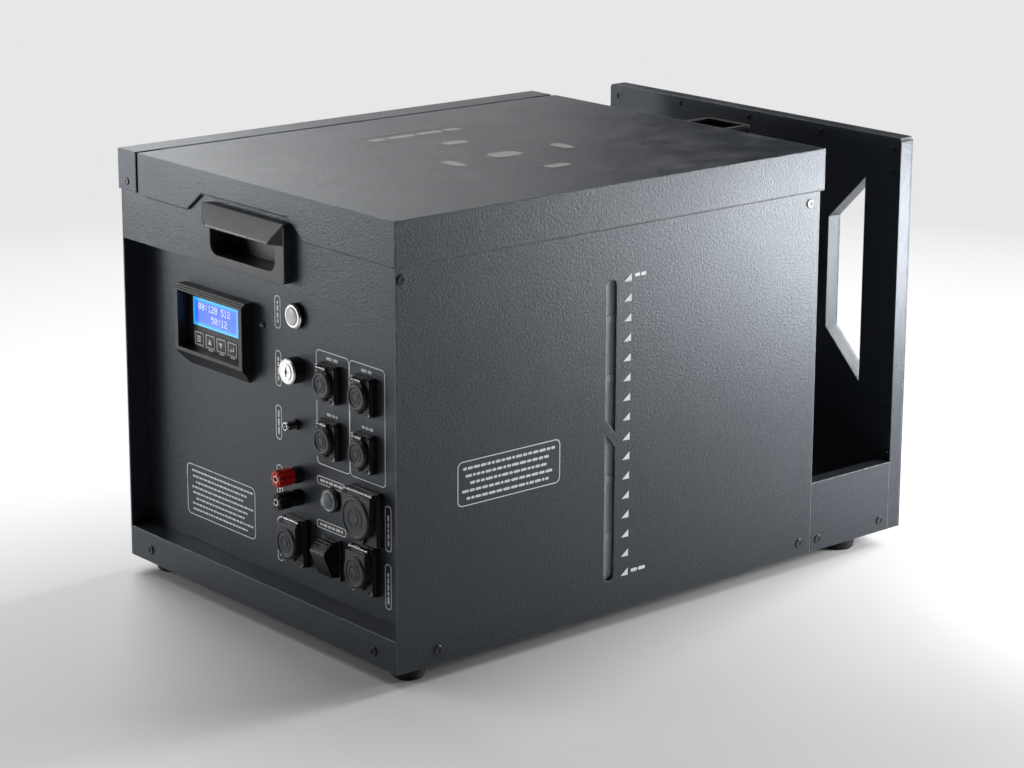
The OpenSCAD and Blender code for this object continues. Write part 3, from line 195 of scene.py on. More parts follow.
def grid(points, wrap_u=False, wrap_v=False):
    """A surface over an array of points (u, v, xyz); its outside is the cross product of the
    steps along u and v. Wrapping joins the last row or column to the first."""
    nu, nv = points.shape[:2]
    index = np.arange(nu * nv).reshape(nu, nv)
    if wrap_u:
        index = np.vstack([index, index[:1]])
    if wrap_v:
        index = np.hstack([index, index[:, :1]])
    a, b, c, d = index[:-1, :-1], index[1:, :-1], index[1:, 1:], index[:-1, 1:]
    triangles = np.concatenate([np.stack([a, b, c], -1), np.stack([a, c, d], -1)])
    return points.reshape(-1, 3).astype(float), triangles.reshape(-1, 3)


def join(*shapes):
    """All the shapes as one."""
    starts = np.cumsum([0] + [len(v) for v, _ in shapes])
    return (
        np.vstack([v for v, _ in shapes]),
        np.vstack([t + s for (_, t), s in zip(shapes, starts)]),
    )


def moved(shape, offset=(0, 0, 0), turn=0.0):
    """The shape turned about its local out axis by turn degrees, then moved."""
    a = math.radians(turn)
    m = np.array([[math.cos(a), math.sin(a), 0], [-math.sin(a), math.cos(a), 0], [0, 0, 1]])
    return shape[0] @ m + np.array(offset, float), shape[1]


def placed(shape, matrix):
    """The shape carried by a seat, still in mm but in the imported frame."""
    return shape[0] @ matrix[:3, :3].T + matrix[:3, 3] / MM, shape[1]


def lathe(profile, sides=48, closed=False):
    """Turns a profile of (radius, height) about the out axis: (r cos t, r sin t, h). The profile
    runs from the axis below, up the outside, to the axis above, or closes on itself."""
    t = np.linspace(0, 2 * np.pi, sides, endpoint=False)[:, None]
    r, h = np.array(profile, float).T
    return grid(np.stack([r * np.cos(t), r * np.sin(t), h + 0 * t], -1), wrap_u=True, wrap_v=closed)


def button(r, low, high, sides=16, soften=0.25):
    """A disc with a softened upper edge."""
    return lathe([(0, low), (r, low), (r, high - soften * (high - low)), (r - soften * (high - low), high),
                  (0, high)], sides)


def band(outer, inner, low, high, sides=48):
    """A plain ring."""
    return lathe([(outer, low), (outer, high), (inner, high), (inner, low)], sides, True)


def along(start, axis, shape):
    """A shape turned about z, laid so that its out axis points along axis from start, in mm."""
    axis = np.asarray(axis, float) / np.linalg.norm(axis)
    right = np.cross([0.0, 0.0, 1.0] if abs(axis[2]) < 0.9 else [1.0, 0.0, 0.0], axis)
    right /= np.linalg.norm(right)
    m = np.column_stack([right, np.cross(axis, right), axis])
    return shape[0] @ m.T + np.asarray(start, float), shape[1]


def prism(outline, low, high):
    """A convex outline (n, 2) run counter-clockwise, carried from low to high and capped by fans."""
    outline = np.asarray(outline, float)
    middle = np.tile(outline.mean(0), (len(outline), 1))
    rings = [(middle, low), (outline, low), (outline, high), (middle, high)]
    return grid(
        np.stack([np.column_stack([p, np.full(len(p), z)]) for p, z in rings], 1), wrap_u=True
    )


def hoop(outer, inner, low, high):
    """The band between two outlines of equal length, carried from low to high."""
    rings = [(outer, low), (outer, high), (inner, high), (inner, low)]
    points = np.stack([np.column_stack([p, np.full(len(p), z)]) for p, z in rings], 1)
    return grid(points, wrap_u=True, wrap_v=True)


def loft(outlines, heights):
    """A skin through outlines of equal length at rising heights, closed to its middle at both ends."""
    first, last = np.asarray(outlines[0]), np.asarray(outlines[-1])
    rings = [np.tile(first.mean(0), (len(first), 1)), *outlines, np.tile(last.mean(0), (len(last), 1))]
    heights = [heights[0], *heights, heights[-1]]
    points = [np.column_stack([p, np.broadcast_to(h, len(p))]) for p, h in zip(rings, heights)]
    return grid(np.stack(points, 1), wrap_u=True)


def round_box(w, h, r, n=6, cx=0.0, cy=0.0):
    """Outline of a w by h rectangle with corner arcs of radius r, counter-clockwise."""
    r = min(r, w / 2 - 1e-4, h / 2 - 1e-4)
    t = np.linspace(0, np.pi / 2, n)
    corners = [(1, 1, 0), (-1, 1, 1), (-1, -1, 2), (1, -1, 3)]
    parts = [
        np.column_stack(
            [
                cx + sx * (w / 2 - r) + r * np.cos(t + q * np.pi / 2),
                cy + sy * (h / 2 - r) + r * np.sin(t + q * np.pi / 2),
            ]
        )
        for sx, sy, q in corners
    ]
    return np.vstack(parts)


def circle(r, n=32, cx=0.0, cy=0.0):
    t = np.linspace(0, 2 * np.pi, n, endpoint=False)
    return np.column_stack([cx + r * np.cos(t), cy + r * np.sin(t)])


def block(p, s):
    """A box from its lowest corner and size."""
    x, y, z = p
    w, d, h = s
    return prism([[x, y], [x + w, y], [x + w, y + d], [x, y + d]], z, z + h)


def tube(path, radius, sides=10, closed=False):
    """A round section of the given radius carried along a path: p + r (n cos t + b sin t), where n
    and b are turned as little as possible from one point to the next. The ends are capped."""
    path = np.asarray(path, float)
    step = np.gradient(path, axis=0)
    if closed:
        step = np.roll(path, -1, 0) - np.roll(path, 1, 0)
    tangent = step / np.linalg.norm(step, axis=1)[:, None]
    normal = np.zeros_like(path)
    guess = np.eye(3)[np.argmin(np.abs(tangent[0]))]
    for i, direction in enumerate(tangent):
        guess = guess - direction * (guess @ direction)
        guess /= np.linalg.norm(guess)
        normal[i] = guess
    binormal = np.cross(tangent, normal)
    t = np.linspace(0, 2 * np.pi, sides, endpoint=False)[:, None, None]
    radius = np.broadcast_to(radius, len(path))[:, None]
    skin = path + radius * (normal * np.cos(t) + binormal * np.sin(t))
    if not closed:
        ends = [np.broadcast_to(path[i], (sides, 1, 3)) for i in (0, -1)]
        skin = np.concatenate([ends[0], skin, ends[1]], 1)
    return grid(skin, wrap_u=True, wrap_v=closed)


def smooth_path(corners, radius, step=3.0):
    """A path through corners with each corner cut by a quadratic curve that starts and ends at
    most radius from it: (1 - t)^2 a + 2 t (1 - t) c + t^2 b."""
    corners = np.asarray(corners, float)
    points = [corners[:1]]
    t = np.linspace(0, 1, 8)[:, None]
    for before, here, after in zip(corners, corners[1:], corners[2:]):
        trim = min(radius, np.linalg.norm(here - before) / 2, np.linalg.norm(after - here) / 2)
        a = here + (before - here) / np.linalg.norm(before - here) * trim
        b = here + (after - here) / np.linalg.norm(after - here) * trim
        points.append((1 - t) ** 2 * a + 2 * t * (1 - t) * here + t**2 * b)
    points.append(corners[-1:])
    path = np.vstack(points)
    run = np.concatenate([[0], np.cumsum(np.linalg.norm(np.diff(path, axis=0), axis=1))])
    even = np.linspace(0, run[-1], max(4, int(run[-1] / step)))
    return np.column_stack([np.interp(even, run, path[:, i]) for i in range(3)])


def piece(name, shape, matrix, finish, body, stands_for=()):
    """Makes a mesh object from a shape, merges its doubles, drops faces without area, gives it a
    finish and has it ride on a body."""
    points, triangles = shape
    points, where = np.unique(np.round(points, 5), axis=0, return_inverse=True)
    triangles = where.reshape(-1)[triangles]
    a, b, c = triangles.T
    triangles = triangles[(a != b) & (b != c) & (a != c)]
    points = points * MM
    if matrix is not None:
        points = points @ matrix[:3, :3].T + matrix[:3, 3]
    mesh = bpy.data.meshes.new(name)
    mesh.from_pydata(points.tolist(), [], triangles.tolist())
    mesh.validate()
    mesh.shade_smooth()
    mesh.set_sharp_from_angle(angle=SHARP)
    made = bpy.data.objects.new(name, mesh)
    bpy.context.scene.collection.objects.link(made)
    mesh.materials.append(finish)
    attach(made, body)
    if stands_for:
        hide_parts(*stands_for)
    return made


# Node helpers and the shared effects


def put(tree, kind, inputs=(), **settings):
    """Adds a node, sets it, and links or fills its inputs."""
    made = tree.nodes.new(kind)
    for key, value in settings.items():
        setattr(made, key, value)
    for key, value in dict(inputs).items():
        if isinstance(value, bpy.types.NodeSocket):
            tree.links.new(value, made.inputs[key])
        else:
            made.inputs[key].default_value = value
    return made


def maths(tree, operation, a, b=0.0, clamp=False):
    return put(tree, "ShaderNodeMath", {0: a, 1: b}, operation=operation, use_clamp=clamp).outputs[0]


def noise(tree, where, scale, detail=2.0, rough=0.5):
    inputs = {"Vector": where, "Scale": scale, "Detail": detail, "Roughness": rough}
    return put(tree, "ShaderNodeTexNoise", inputs).outputs["Fac"]


def remap(tree, value, low, high, to_low=0.0, to_high=1.0):
    inputs = {"Value": value, 1: low, 2: high, 3: to_low, 4: to_high}
    return put(tree, "ShaderNodeMapRange", inputs, clamp=True).outputs[0]


def blend_colours(tree, share, a, b, kind="MIX"):
    made = put(tree, "ShaderNodeMix", data_type="RGBA", blend_type=kind)
    for key, value in ((0, share), (6, a), (7, b)):
        if isinstance(value, bpy.types.NodeSocket):
            tree.links.new(value, made.inputs[key])
        else:
            made.inputs[key].default_value = value if key == 0 else (*value[:3], 1)
    return made.outputs[2]


def object_place(tree):
    return put(tree, "ShaderNodeTexCoord").outputs["Object"]


def effect(name, inputs, outputs, build):
    """A shader node group that puts out only colours, masks, values or normals."""
    tree = bpy.data.node_groups.new(name, "ShaderNodeTree")
    for label, value in inputs:
        socket = tree.interface.new_socket(label, in_out="INPUT", socket_type="NodeSocketFloat")
        socket.default_value = value
    for label, kind in outputs:
        tree.interface.new_socket(label, in_out="OUTPUT", socket_type=kind)
    given = tree.nodes.new("NodeGroupInput").outputs
    last = tree.nodes.new("NodeGroupOutput").inputs
    for socket, result in zip(last, build(tree, given)):
        tree.links.new(result, socket)
    return tree


def coat_texture(tree, given):
    """Grain of a textured coat: a fine noise with rounded cells in it, bright specks where a finer
    noise peaks, and broad clouds."""
    where = object_place(tree)
    fine = noise(tree, where, given["Scale"], 3.0, 0.6)
    cell_inputs = {"Vector": where, "Scale": maths(tree, "MULTIPLY", given["Scale"], 0.7)}
    cells = put(tree, "ShaderNodeTexVoronoi", cell_inputs, feature="SMOOTH_F1").outputs["Distance"]
    height = maths(tree, "SUBTRACT", fine, maths(tree, "MULTIPLY", cells, 0.45))
    speck = remap(tree, noise(tree, where, maths(tree, "MULTIPLY", given["Scale"], 1.3), 1.0), 0.63, 0.74)
    cloud = noise(tree, where, given["Clouds"], 4.0, 0.55)
    return height, speck, cloud


def edge_wear_and_highlight_mask(tree, given):
    """Where a rounded normal leaves the flat one the mask rises, broken up by noise."""
    soft = put(tree, "ShaderNodeBevel", {"Radius": given["Radius"]}, samples=4).outputs[0]
    flat = put(tree, "ShaderNodeNewGeometry").outputs["Normal"]
    same = put(tree, "ShaderNodeVectorMath", {0: soft, 1: flat}, operation="DOT_PRODUCT").outputs["Value"]
    mask = remap(tree, same, 0.995, 0.85)
    broken = remap(tree, noise(tree, object_place(tree), 90.0, 3.0), 0.3, 0.6, 0.25, 1.0)
    return maths(tree, "MULTIPLY", mask, broken, clamp=True), soft


def settled_dust(tree, given):
    """Upward faces under patchy noise."""
    normal = put(tree, "ShaderNodeNewGeometry").outputs["Normal"]
    up = put(tree, "ShaderNodeSeparateXYZ", {0: normal}).outputs["Z"]
    patchy = noise(tree, object_place(tree), 26.0, 5.0, 0.65)
    mask = maths(tree, "MULTIPLY", remap(tree, up, 0.5, 1.0), remap(tree, patchy, 0.45, 0.8))
    return (maths(tree, "MULTIPLY", mask, given["Amount"]),)


def drawn_lines(tree, given):
    """Noise squeezed along two axes, which leaves lines along the third."""
    stretch = put(
        tree, "ShaderNodeCombineXYZ", {"X": given["Along X"], "Y": given["Along Y"], "Z": given["Along Z"]}
    ).outputs[0]
    where = put(
        tree, "ShaderNodeVectorMath", {0: object_place(tree), 1: stretch}, operation="MULTIPLY"
    ).outputs[0]
    return noise(tree, where, 1.0, 4.0, 0.7), noise(tree, object_place(tree), 30.0, 3.0)


def turned_rings(tree, given):
    """Sine rings by distance from a panel column: the marks of a lathe or a spun brush."""
    place = put(tree, "ShaderNodeSeparateXYZ", {0: object_place(tree)})
    dx = maths(tree, "SUBTRACT", place.outputs["X"], given["Centre X"])
    dz = maths(tree, "SUBTRACT", place.outputs["Z"], given["Centre Z"])
    reach = maths(
        tree, "SQRT", maths(tree, "ADD", maths(tree, "MULTIPLY", dx, dx), maths(tree, "MULTIPLY", dz, dz))
    )
    return (
        maths(tree, "SINE", maths(tree, "MULTIPLY", reach, given["Rings"])),
        noise(tree, object_place(tree), 400.0, 2.0),
    )


EFFECTS = {}


def make_effects():
    value, vector = "NodeSocketFloat", "NodeSocketVector"
    EFFECTS["coat"] = effect(
        "Textured coat",
        [("Scale", 900.0), ("Clouds", 7.0)],
        [("Height", value), ("Speck", value), ("Cloud", value)],
        coat_texture,
    )
    EFFECTS["wear_and_highlight"] = effect(
        "Edge wear", [("Radius", 0.001)], [("Mask", value), ("Round normal", vector)], edge_wear_and_highlight_mask
    )
    EFFECTS["dust"] = effect("Settled dust", [("Amount", 0.3)], [("Mask", value)], settled_dust)
    EFFECTS["drawn"] = effect(
        "Drawn lines",
        [("Along X", 40.0), ("Along Y", 3000.0), ("Along Z", 3000.0)],
        [("Lines", value), ("Patches", value)],
        drawn_lines,
    )
    EFFECTS["rings"] = effect(
        "Turned rings",
        [("Centre X", 0.0), ("Centre Z", 0.0), ("Rings", 9000.0)],
        [("Rings", value), ("Stain", value)],
        turned_rings,
    )


def use(tree, name, **values):
    made = tree.nodes.new("ShaderNodeGroup")
    made.node_tree = EFFECTS[name]
    for key, value in values.items():
        made.inputs[key.replace("_", " ")].default_value = value
    return made.outputs


def new_finish(name):
    """An empty material with its shader and its output; returns material, tree and shader."""
    made = bpy.data.materials.new(name)
    made.use_nodes = True
    tree = made.node_tree
    tree.nodes.clear()
    shader = tree.nodes.new("ShaderNodeBsdfPrincipled")
    put(tree, "ShaderNodeOutputMaterial", {"Surface": shader.outputs[0]})
    return made, tree, shader


def wire_up(tree, shader, links):
    for key, value in links.items():
        if isinstance(value, bpy.types.NodeSocket):
            tree.links.new(value, shader.inputs[key])
        else:
            shader.inputs[key].default_value = value


def bump(tree, height, distance, strength=1.0, normal=None):
    inputs = {"Height": height, "Distance": distance, "Strength": strength}
    if normal is not None:
        inputs["Normal"] = normal
    return put(tree, "ShaderNodeBump", inputs).outputs[0]


def tint(colour, factor):
    return tuple(min(1.0, c * factor) for c in colour[:3])


def coated(name, colour, grain, depth, rough, edge_wear_and_highlight_radius=0.0009, edge_wear_and_highlight_colour=(0.3, 0.3, 0.31), dust=0.12, speck=2.6,
           cloudy=0.12, bright=None, bright_tone=0.6, sheen_tint=(1.0, 1.0, 1.0)):
    """Paint or moulded plastic: clouded colour, grain bump, specks, lighter edges and some dust. The lighter edges
    stand for wear, and on the case paint also for a painted highlight along the bends.
    """
    made, tree, shader = new_finish(name)
    coat = use(tree, "coat", Scale=grain)
    wear_and_highlight = use(tree, "wear_and_highlight", Radius=edge_wear_and_highlight_radius)
    dusty = use(tree, "dust", Amount=dust)["Mask"]
    tone = blend_colours(
        tree, remap(tree, coat["Cloud"], 0.3, 0.7), tint(colour, 1 - cloudy), tint(colour, 1 + cloudy)
    )
    tone = blend_colours(tree, maths(tree, "MULTIPLY", coat["Speck"], 0.6), tone, tint(colour, speck))
    # Lighter colour on the edges: wear, and with the case paint's light grey also a painted highlight
    tone = blend_colours(tree, maths(tree, "MULTIPLY", wear_and_highlight["Mask"], 0.45), tone, edge_wear_and_highlight_colour)
    tone = blend_colours(tree, dusty, tone, (0.3, 0.29, 0.28))
    gloss = maths(tree, "ADD", remap(tree, coat["Cloud"], 0.3, 0.7, rough - 0.04, rough + 0.05), dusty)
    gloss = maths(tree, "SUBTRACT", gloss, maths(tree, "MULTIPLY", coat["Speck"], 0.12))
    normal = bump(tree, coat["Height"], depth, 0.9, wear_and_highlight["Round normal"])
    wire_up(tree, shader, {"Base Color": tone, "Roughness": gloss, "Normal": normal})
    wire_up(tree, shader, {"Specular Tint": (*sheen_tint, 1.0)})
    if bright:
        share, metal_colour, metal_rough = bright(tree), tint((1.0, 1.01, 1.02), bright_tone), 0.24
        tone = blend_colours(tree, share, tone, metal_colour)
        gloss = remap(tree, share, 0.0, 1.0, rough, metal_rough)
        wire_up(tree, shader, {"Base Color": tone, "Roughness": gloss, "Metallic": share})
    return made


def depth_mask(out):
    """Builds a mask of what stands further out of the control panel than out, in mm."""

    def build(tree):
        y = put(tree, "ShaderNodeSeparateXYZ", {0: object_place(tree)}).outputs["Y"]
        return maths(tree, "LESS_THAN", y, PANEL_Y - out * MM)

    return build


def height_mask(heights, half):
    """Builds a mask of the bands of half height half about the given heights, in mm."""

    def build(tree):
        z = put(tree, "ShaderNodeSeparateXYZ", {0: object_place(tree)}).outputs["Z"]
        share = 0.0
        for height in heights:
            off = maths(tree, "ABSOLUTE", maths(tree, "SUBTRACT", z, BASE_Z + height * MM))
            share = maths(tree, "ADD", maths(tree, "LESS_THAN", off, half * MM), share)
        return share

    return build


def core_mask(places, radius):
    """Builds a mask of what lies within radius of a panel column, in mm."""

    def build(tree):
        where = put(tree, "ShaderNodeSeparateXYZ", {0: object_place(tree)})
        share = 0.0
        for x, z in places:
            dx = maths(tree, "SUBTRACT", where.outputs["X"], x * MM)
            dz = maths(tree, "SUBTRACT", where.outputs["Z"], BASE_Z + z * MM)
            near = maths(tree, "ADD", maths(tree, "MULTIPLY", dx, dx), maths(tree, "MULTIPLY", dz, dz))
            share = maths(tree, "ADD", maths(tree, "LESS_THAN", near, (radius * MM) ** 2), share)
        return share

    return build


def metal(name, colour, rough, lines=(40.0, 3000.0, 3000.0), stain=0.85, depth=0.00001):
    """Bare metal: drawn lines in bump and roughness, duller patches, brighter edges."""
    made, tree, shader = new_finish(name)
    drawn = use(tree, "drawn", Along_X=lines[0], Along_Y=lines[1], Along_Z=lines[2])
    wear_and_highlight = use(tree, "wear_and_highlight", Radius=0.0004)
    tone = blend_colours(tree, remap(tree, drawn["Patches"], 0.35, 0.7), colour, tint(colour, stain))
    tone = blend_colours(tree, maths(tree, "MULTIPLY", wear_and_highlight["Mask"], 0.5), tone, tint(colour, 1.2))
    gloss = remap(tree, drawn["Lines"], 0.25, 0.75, rough * 0.75, rough * 1.3)
    normal = bump(tree, drawn["Lines"], depth, 0.6, wear_and_highlight["Round normal"])
    wire_up(tree, shader, {"Base Color": tone, "Roughness": gloss, "Normal": normal, "Metallic": 1.0})
    return made


def turned_metal(name, colour, rough, x, z, out):
    """Metal with lathe rings about a panel column at x and z, black below out. On the start button's ring the black is
    painted shade on its unlit side; the key switch is black below its face as well.
    """
    made, tree, shader = new_finish(name)
    rings = use(tree, "rings", Centre_X=x * MM, Centre_Z=BASE_Z + z * MM)
    wear_and_highlight = use(tree, "wear_and_highlight", Radius=0.0003)
    tone = blend_colours(tree, remap(tree, rings["Stain"], 0.3, 0.7), colour, tint(colour, 0.82))
    face = depth_mask(out)(tree)
    # Black below the face: painted shade on the side of the start button's ring
    tone = blend_colours(tree, face, (0.012, 0.012, 0.013), tone)
    gloss = remap(tree, rings["Rings"], -1.0, 1.0, rough * 0.8, rough * 1.3)
    normal = bump(tree, rings["Rings"], 0.00001, 0.5, wear_and_highlight["Round normal"])
    wire_up(tree, shader, {"Base Color": tone, "Roughness": gloss, "Normal": normal, "Metallic": face})
    return made


def ink_finish(name, colour, glow=0.0):
    """Screen print: slightly broken cover over a fine grain."""
    made, tree, shader = new_finish(name)
    coat = use(tree, "coat", Scale=1500.0)
    tone = blend_colours(tree, remap(tree, coat["Height"], 0.0, 0.5), tint(colour, 0.8), colour)
    normal = bump(tree, coat["Height"], 0.00003, 0.6)
    wire_up(tree, shader, {"Base Color": tone, "Roughness": 0.5, "Normal": normal})
    if glow:
        wire_up(tree, shader, {"Emission Color": tone, "Emission Strength": glow})
    return made


def screen_finish(name, colour):
    """Backlit window: deep blue in the middle that turns to cyan towards its border, with a fine
    dot raster."""
    made, tree, shader = new_finish(name)
    low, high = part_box("display_glass")
    place = put(tree, "ShaderNodeSeparateXYZ", {0: object_place(tree)})
    x, z = place.outputs["X"], place.outputs["Z"]
    near_x = maths(tree, "MINIMUM", maths(tree, "SUBTRACT", x, low.x), maths(tree, "SUBTRACT", high.x, x))
    near_z = maths(tree, "MINIMUM", maths(tree, "SUBTRACT", z, low.z), maths(tree, "SUBTRACT", high.z, z))
    border = remap(tree, maths(tree, "MINIMUM", near_x, near_z), 0.0004, 0.0042, 1.0, 0.0)
    raster = maths(tree, "MULTIPLY", maths(tree, "SINE", maths(tree, "MULTIPLY", x, 11000.0)),
                   maths(tree, "SINE", maths(tree, "MULTIPLY", z, 11000.0)))
    cloud = noise(tree, object_place(tree), 60.0, 3.0)
    tone = blend_colours(tree, remap(tree, cloud, 0.3, 0.7), colour, (0.08, 0.16, 0.95))
    tone = blend_colours(tree, maths(tree, "POWER", border, 1.6), tone, (0.02, 0.52, 0.98))
    tone = blend_colours(tree, remap(tree, raster, -1.0, 1.0, 0.0, 0.12), tone, (0.01, 0.03, 0.3))
    wire_up(tree, shader, {"Base Color": tone, "Roughness": 0.12, "Emission Color": tone,
                           "Emission Strength": 0.85, "Coat Weight": 0.6})
    return made


def clear_finish(name, colour, rough, through, ior):
    """Clear or milky plastic: faint clouds in colour and roughness, light passing through."""
    made, tree, shader = new_finish(name)
    coat = use(tree, "coat", Scale=500.0, Clouds=30.0)
    wear_and_highlight = use(tree, "wear_and_highlight", Radius=0.0006)
    tone = blend_colours(tree, remap(tree, coat["Cloud"], 0.3, 0.7), colour, tint(colour, 0.9))
    gloss = remap(tree, coat["Cloud"], 0.3, 0.7, rough * 0.8, rough * 1.2)
    normal = bump(tree, coat["Height"], 0.00004, 0.4, wear_and_highlight["Round normal"])
    wire_up(tree, shader, {"Base Color": tone, "Roughness": gloss, "Normal": normal, "IOR": ior,
                           "Transmission Weight": through})
    return made


def hood_finish(name):
    """Steel darkened by the flame: straw to blue temper bands by height, soot at the mouth."""
    made, tree, shader = new_finish(name)
    low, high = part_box("nozzle_hood")
    drawn = use(tree, "drawn", Along_X=2500.0, Along_Y=2500.0, Along_Z=60.0)
    wear_and_highlight = use(tree, "wear_and_highlight", Radius=0.0008)
    z = put(tree, "ShaderNodeSeparateXYZ", {0: object_place(tree)}).outputs["Z"]
    height = remap(tree, z, low.z, high.z)
    ragged = maths(tree, "ADD", height, maths(tree, "MULTIPLY", maths(tree, "SUBTRACT", drawn["Patches"], 0.5), 0.22))
    ramp = put(tree, "ShaderNodeValToRGB", {0: ragged})
    stops = [(0.0, (0.09, 0.092, 0.096)), (0.5, (0.075, 0.074, 0.074)), (0.7, (0.12, 0.085, 0.05)),
             (0.82, (0.06, 0.045, 0.07)), (0.92, (0.035, 0.045, 0.075)), (1.0, (0.02, 0.02, 0.021))]
    ramp.color_ramp.elements[0].color = (*stops[0][1], 1)
    ramp.color_ramp.elements[1].color = (*stops[-1][1], 1)
    for place, colour in stops[1:-1]:
        ramp.color_ramp.elements.new(place).color = (*colour, 1)
    tone = blend_colours(tree, maths(tree, "MULTIPLY", wear_and_highlight["Mask"], 0.5), ramp.outputs[0], (0.4, 0.39, 0.38))
    gloss = remap(tree, ragged, 0.4, 1.0, 0.34, 0.75)
    normal = bump(tree, drawn["Lines"], 0.00002, 0.6, wear_and_highlight["Round normal"])
    wire_up(tree, shader, {"Base Color": tone, "Roughness": gloss, "Normal": normal, "Metallic": 0.85})
    return made


def board_finish(name):
    """Circuit board: green resist over right-angled copper runs, a brick pattern on two axes."""
    made, tree, shader = new_finish(name)
    where = object_place(tree)
    runs = put(tree, "ShaderNodeTexBrick", {"Vector": where, "Scale": 90.0, "Mortar Size": 0.012,
                                            "Brick Width": 1.7, "Row Height": 0.36,
                                            "Color1": (1, 1, 1, 1), "Color2": (0.8, 0.8, 0.8, 1),
                                            "Mortar": (0, 0, 0, 1)})
    coat = use(tree, "coat", Scale=700.0)
    line = maths(tree, "SUBTRACT", 1.0, runs.outputs["Fac"])
    tone = blend_colours(tree, runs.outputs["Fac"], (0.012, 0.1, 0.035), (0.03, 0.2, 0.075))
    tone = blend_colours(tree, coat["Speck"], tone, (0.55, 0.56, 0.5))
    normal = bump(tree, line, 0.00005, 0.5)
    wire_up(tree, shader, {"Base Color": tone, "Roughness": 0.3, "Normal": normal, "Coat Weight": 0.4})
    return made


FINISH = {}


def make_finishes(look):
    make_effects()
    black = look.moulding
    hinges = height_mask([217.0, 171.5, 82.0, 127.5], 1.85)
    posts = [(31, 119), (31, 100)]
    FINISH.update(
        # The case paint's light grey edge colour is a painted highlight along the sheet's bends
        case_paint=coated("textured_powder_coat", look.paint, 900.0, 0.0003, 0.33, 0.0013, (0.42, 0.44, 0.47),
                          speck=4.5, cloudy=0.03, sheen_tint=(0.8, 0.9, 1.0)),
        handle_plastic=coated("satin_moulding", tint(look.paint, 1.3), 1600.0, 0.00006, 0.36, 0.0016,
                              (0.13, 0.135, 0.145), speck=1.4),
        foot_rubber=coated("foot_rubber", (0.012, 0.012, 0.013), 700.0, 0.0001, 0.72, edge_wear_and_highlight_colour=(0.03, 0.03, 0.03)),
        screw_black=coated("blackened_steel", tint(black, 0.4), 2200.0, 0.00003, 0.3, 0.0003, (0.05, 0.05, 0.052),
                           dust=0.03),
        bezel_black=coated("grained_bezel", tint(black, 0.45), 1800.0, 0.00006, 0.34, 0.0005, (0.05, 0.052, 0.056),
                           dust=0.04),
        key_black=coated("membrane_key", (0.03, 0.031, 0.034), 1500.0, 0.00004, 0.5, 0.0004, (0.1, 0.1, 0.1)),
        white_plastic=coated("white_cap", (0.78, 0.78, 0.77), 1200.0, 0.00002, 0.22, 0.0005, (0.86, 0.86, 0.85),
                             speck=1.0),
        red_plastic=coated("red_nut", look.red, 1100.0, 0.00002, 0.24, 0.0005, tint(look.red, 1.5), speck=1.1),
        black_plastic=coated("gloss_black", tint(black, 0.4), 1300.0, 0.00002, 0.25, 0.0005, (0.03, 0.03, 0.032),
                             dust=0.03),
        socket_black=coated("black_casting", tint(black, 0.5), 1100.0, 0.0001, 0.34, 0.0006, (0.04, 0.04, 0.042),
                            dust=0.03, bright=depth_mask(7.05), bright_tone=0.14),
        cap_black=coated("satin_cap", tint(look.paint, 1.1), 1300.0, 0.00007, 0.36, 0.0008, (0.06, 0.062, 0.066),
                         dust=0.05, bright=hinges, bright_tone=0.14),
        post_base=coated("post_base", tint(black, 0.5), 1300.0, 0.00002, 0.3, 0.0004, (0.04, 0.04, 0.042),
                         bright=core_mask(posts, 3.05)),
        aerial_black=coated("aerial_socket", tint(black, 0.5), 1300.0, 0.00002, 0.3, 0.0004, (0.05, 0.05, 0.05),
                            bright=depth_mask(10.4)),
        hose_rubber=coated("fuel_hose", (0.014, 0.014, 0.015), 900.0, 0.00006, 0.6),
        coil_resin=coated("potted_resin", (0.06, 0.04, 0.03), 300.0, 0.00008, 0.28),
        motor_black=coated("motor_paint", (0.028, 0.028, 0.03), 1200.0, 0.00006, 0.35),
        bearing_iron=coated("cast_housing", (0.22, 0.23, 0.235), 600.0, 0.0003, 0.5, dust=0.1),
        ceramic=coated("glazed_ceramic", (0.86, 0.85, 0.8), 500.0, 0.00002, 0.16, speck=1.0, dust=0.0),
        # The ring's black side below 3.4 mm out is painted shade
        chrome_ring=turned_metal("polished_ring", (0.85, 0.85, 0.86), 0.2, 31, 249, 3.4),
        nickel=turned_metal("satin_nickel", (0.8, 0.8, 0.79), 0.32, 31, 205, 9.9),
        brass_gold=metal("gold_plate", (0.85, 0.66, 0.3), 0.22, (900.0, 60.0, 900.0)),
        zinc_steel=metal("zinc_plate", (0.55, 0.56, 0.57), 0.36, (900.0, 50.0, 900.0)),
        valve_brass=metal("machined_brass", (0.66, 0.5, 0.2), 0.3, (800.0, 800.0, 60.0)),
        supply_case=metal("mill_aluminium", (0.6, 0.61, 0.62), 0.34, (2200.0, 40.0, 2200.0)),
        machined_alu=metal("machined_aluminium", (0.7, 0.71, 0.72), 0.28, (1500.0, 60.0, 1500.0)),
        shaft_steel=metal("ground_shaft", (0.6, 0.6, 0.61), 0.2, (60.0, 2500.0, 60.0)),
        hood_steel=hood_finish("flame_darkened_steel"),
        display_blue=screen_finish("backlit_window", look.screen),
        lamp_lens=clear_finish("smoked_lens", (0.4, 0.42, 0.45), 0.1, 0.55, 1.49),
        clear_boot=clear_finish("clear_silicone", (0.8, 0.84, 0.86), 0.12, 0.62, 1.41),
        tank_plastic=clear_finish("milky_tank", (0.36, 0.38, 0.39), 0.42, 0.15, 1.5),
        board_green=board_finish("circuit_board"),
        ink=ink_finish("screen_print", look.ink),
        faint_ink=ink_finish("worn_print", tint(look.ink, 0.26)),
        dots=ink_finish("display_dots", (0.75, 0.85, 1.0), 0.9),
    )


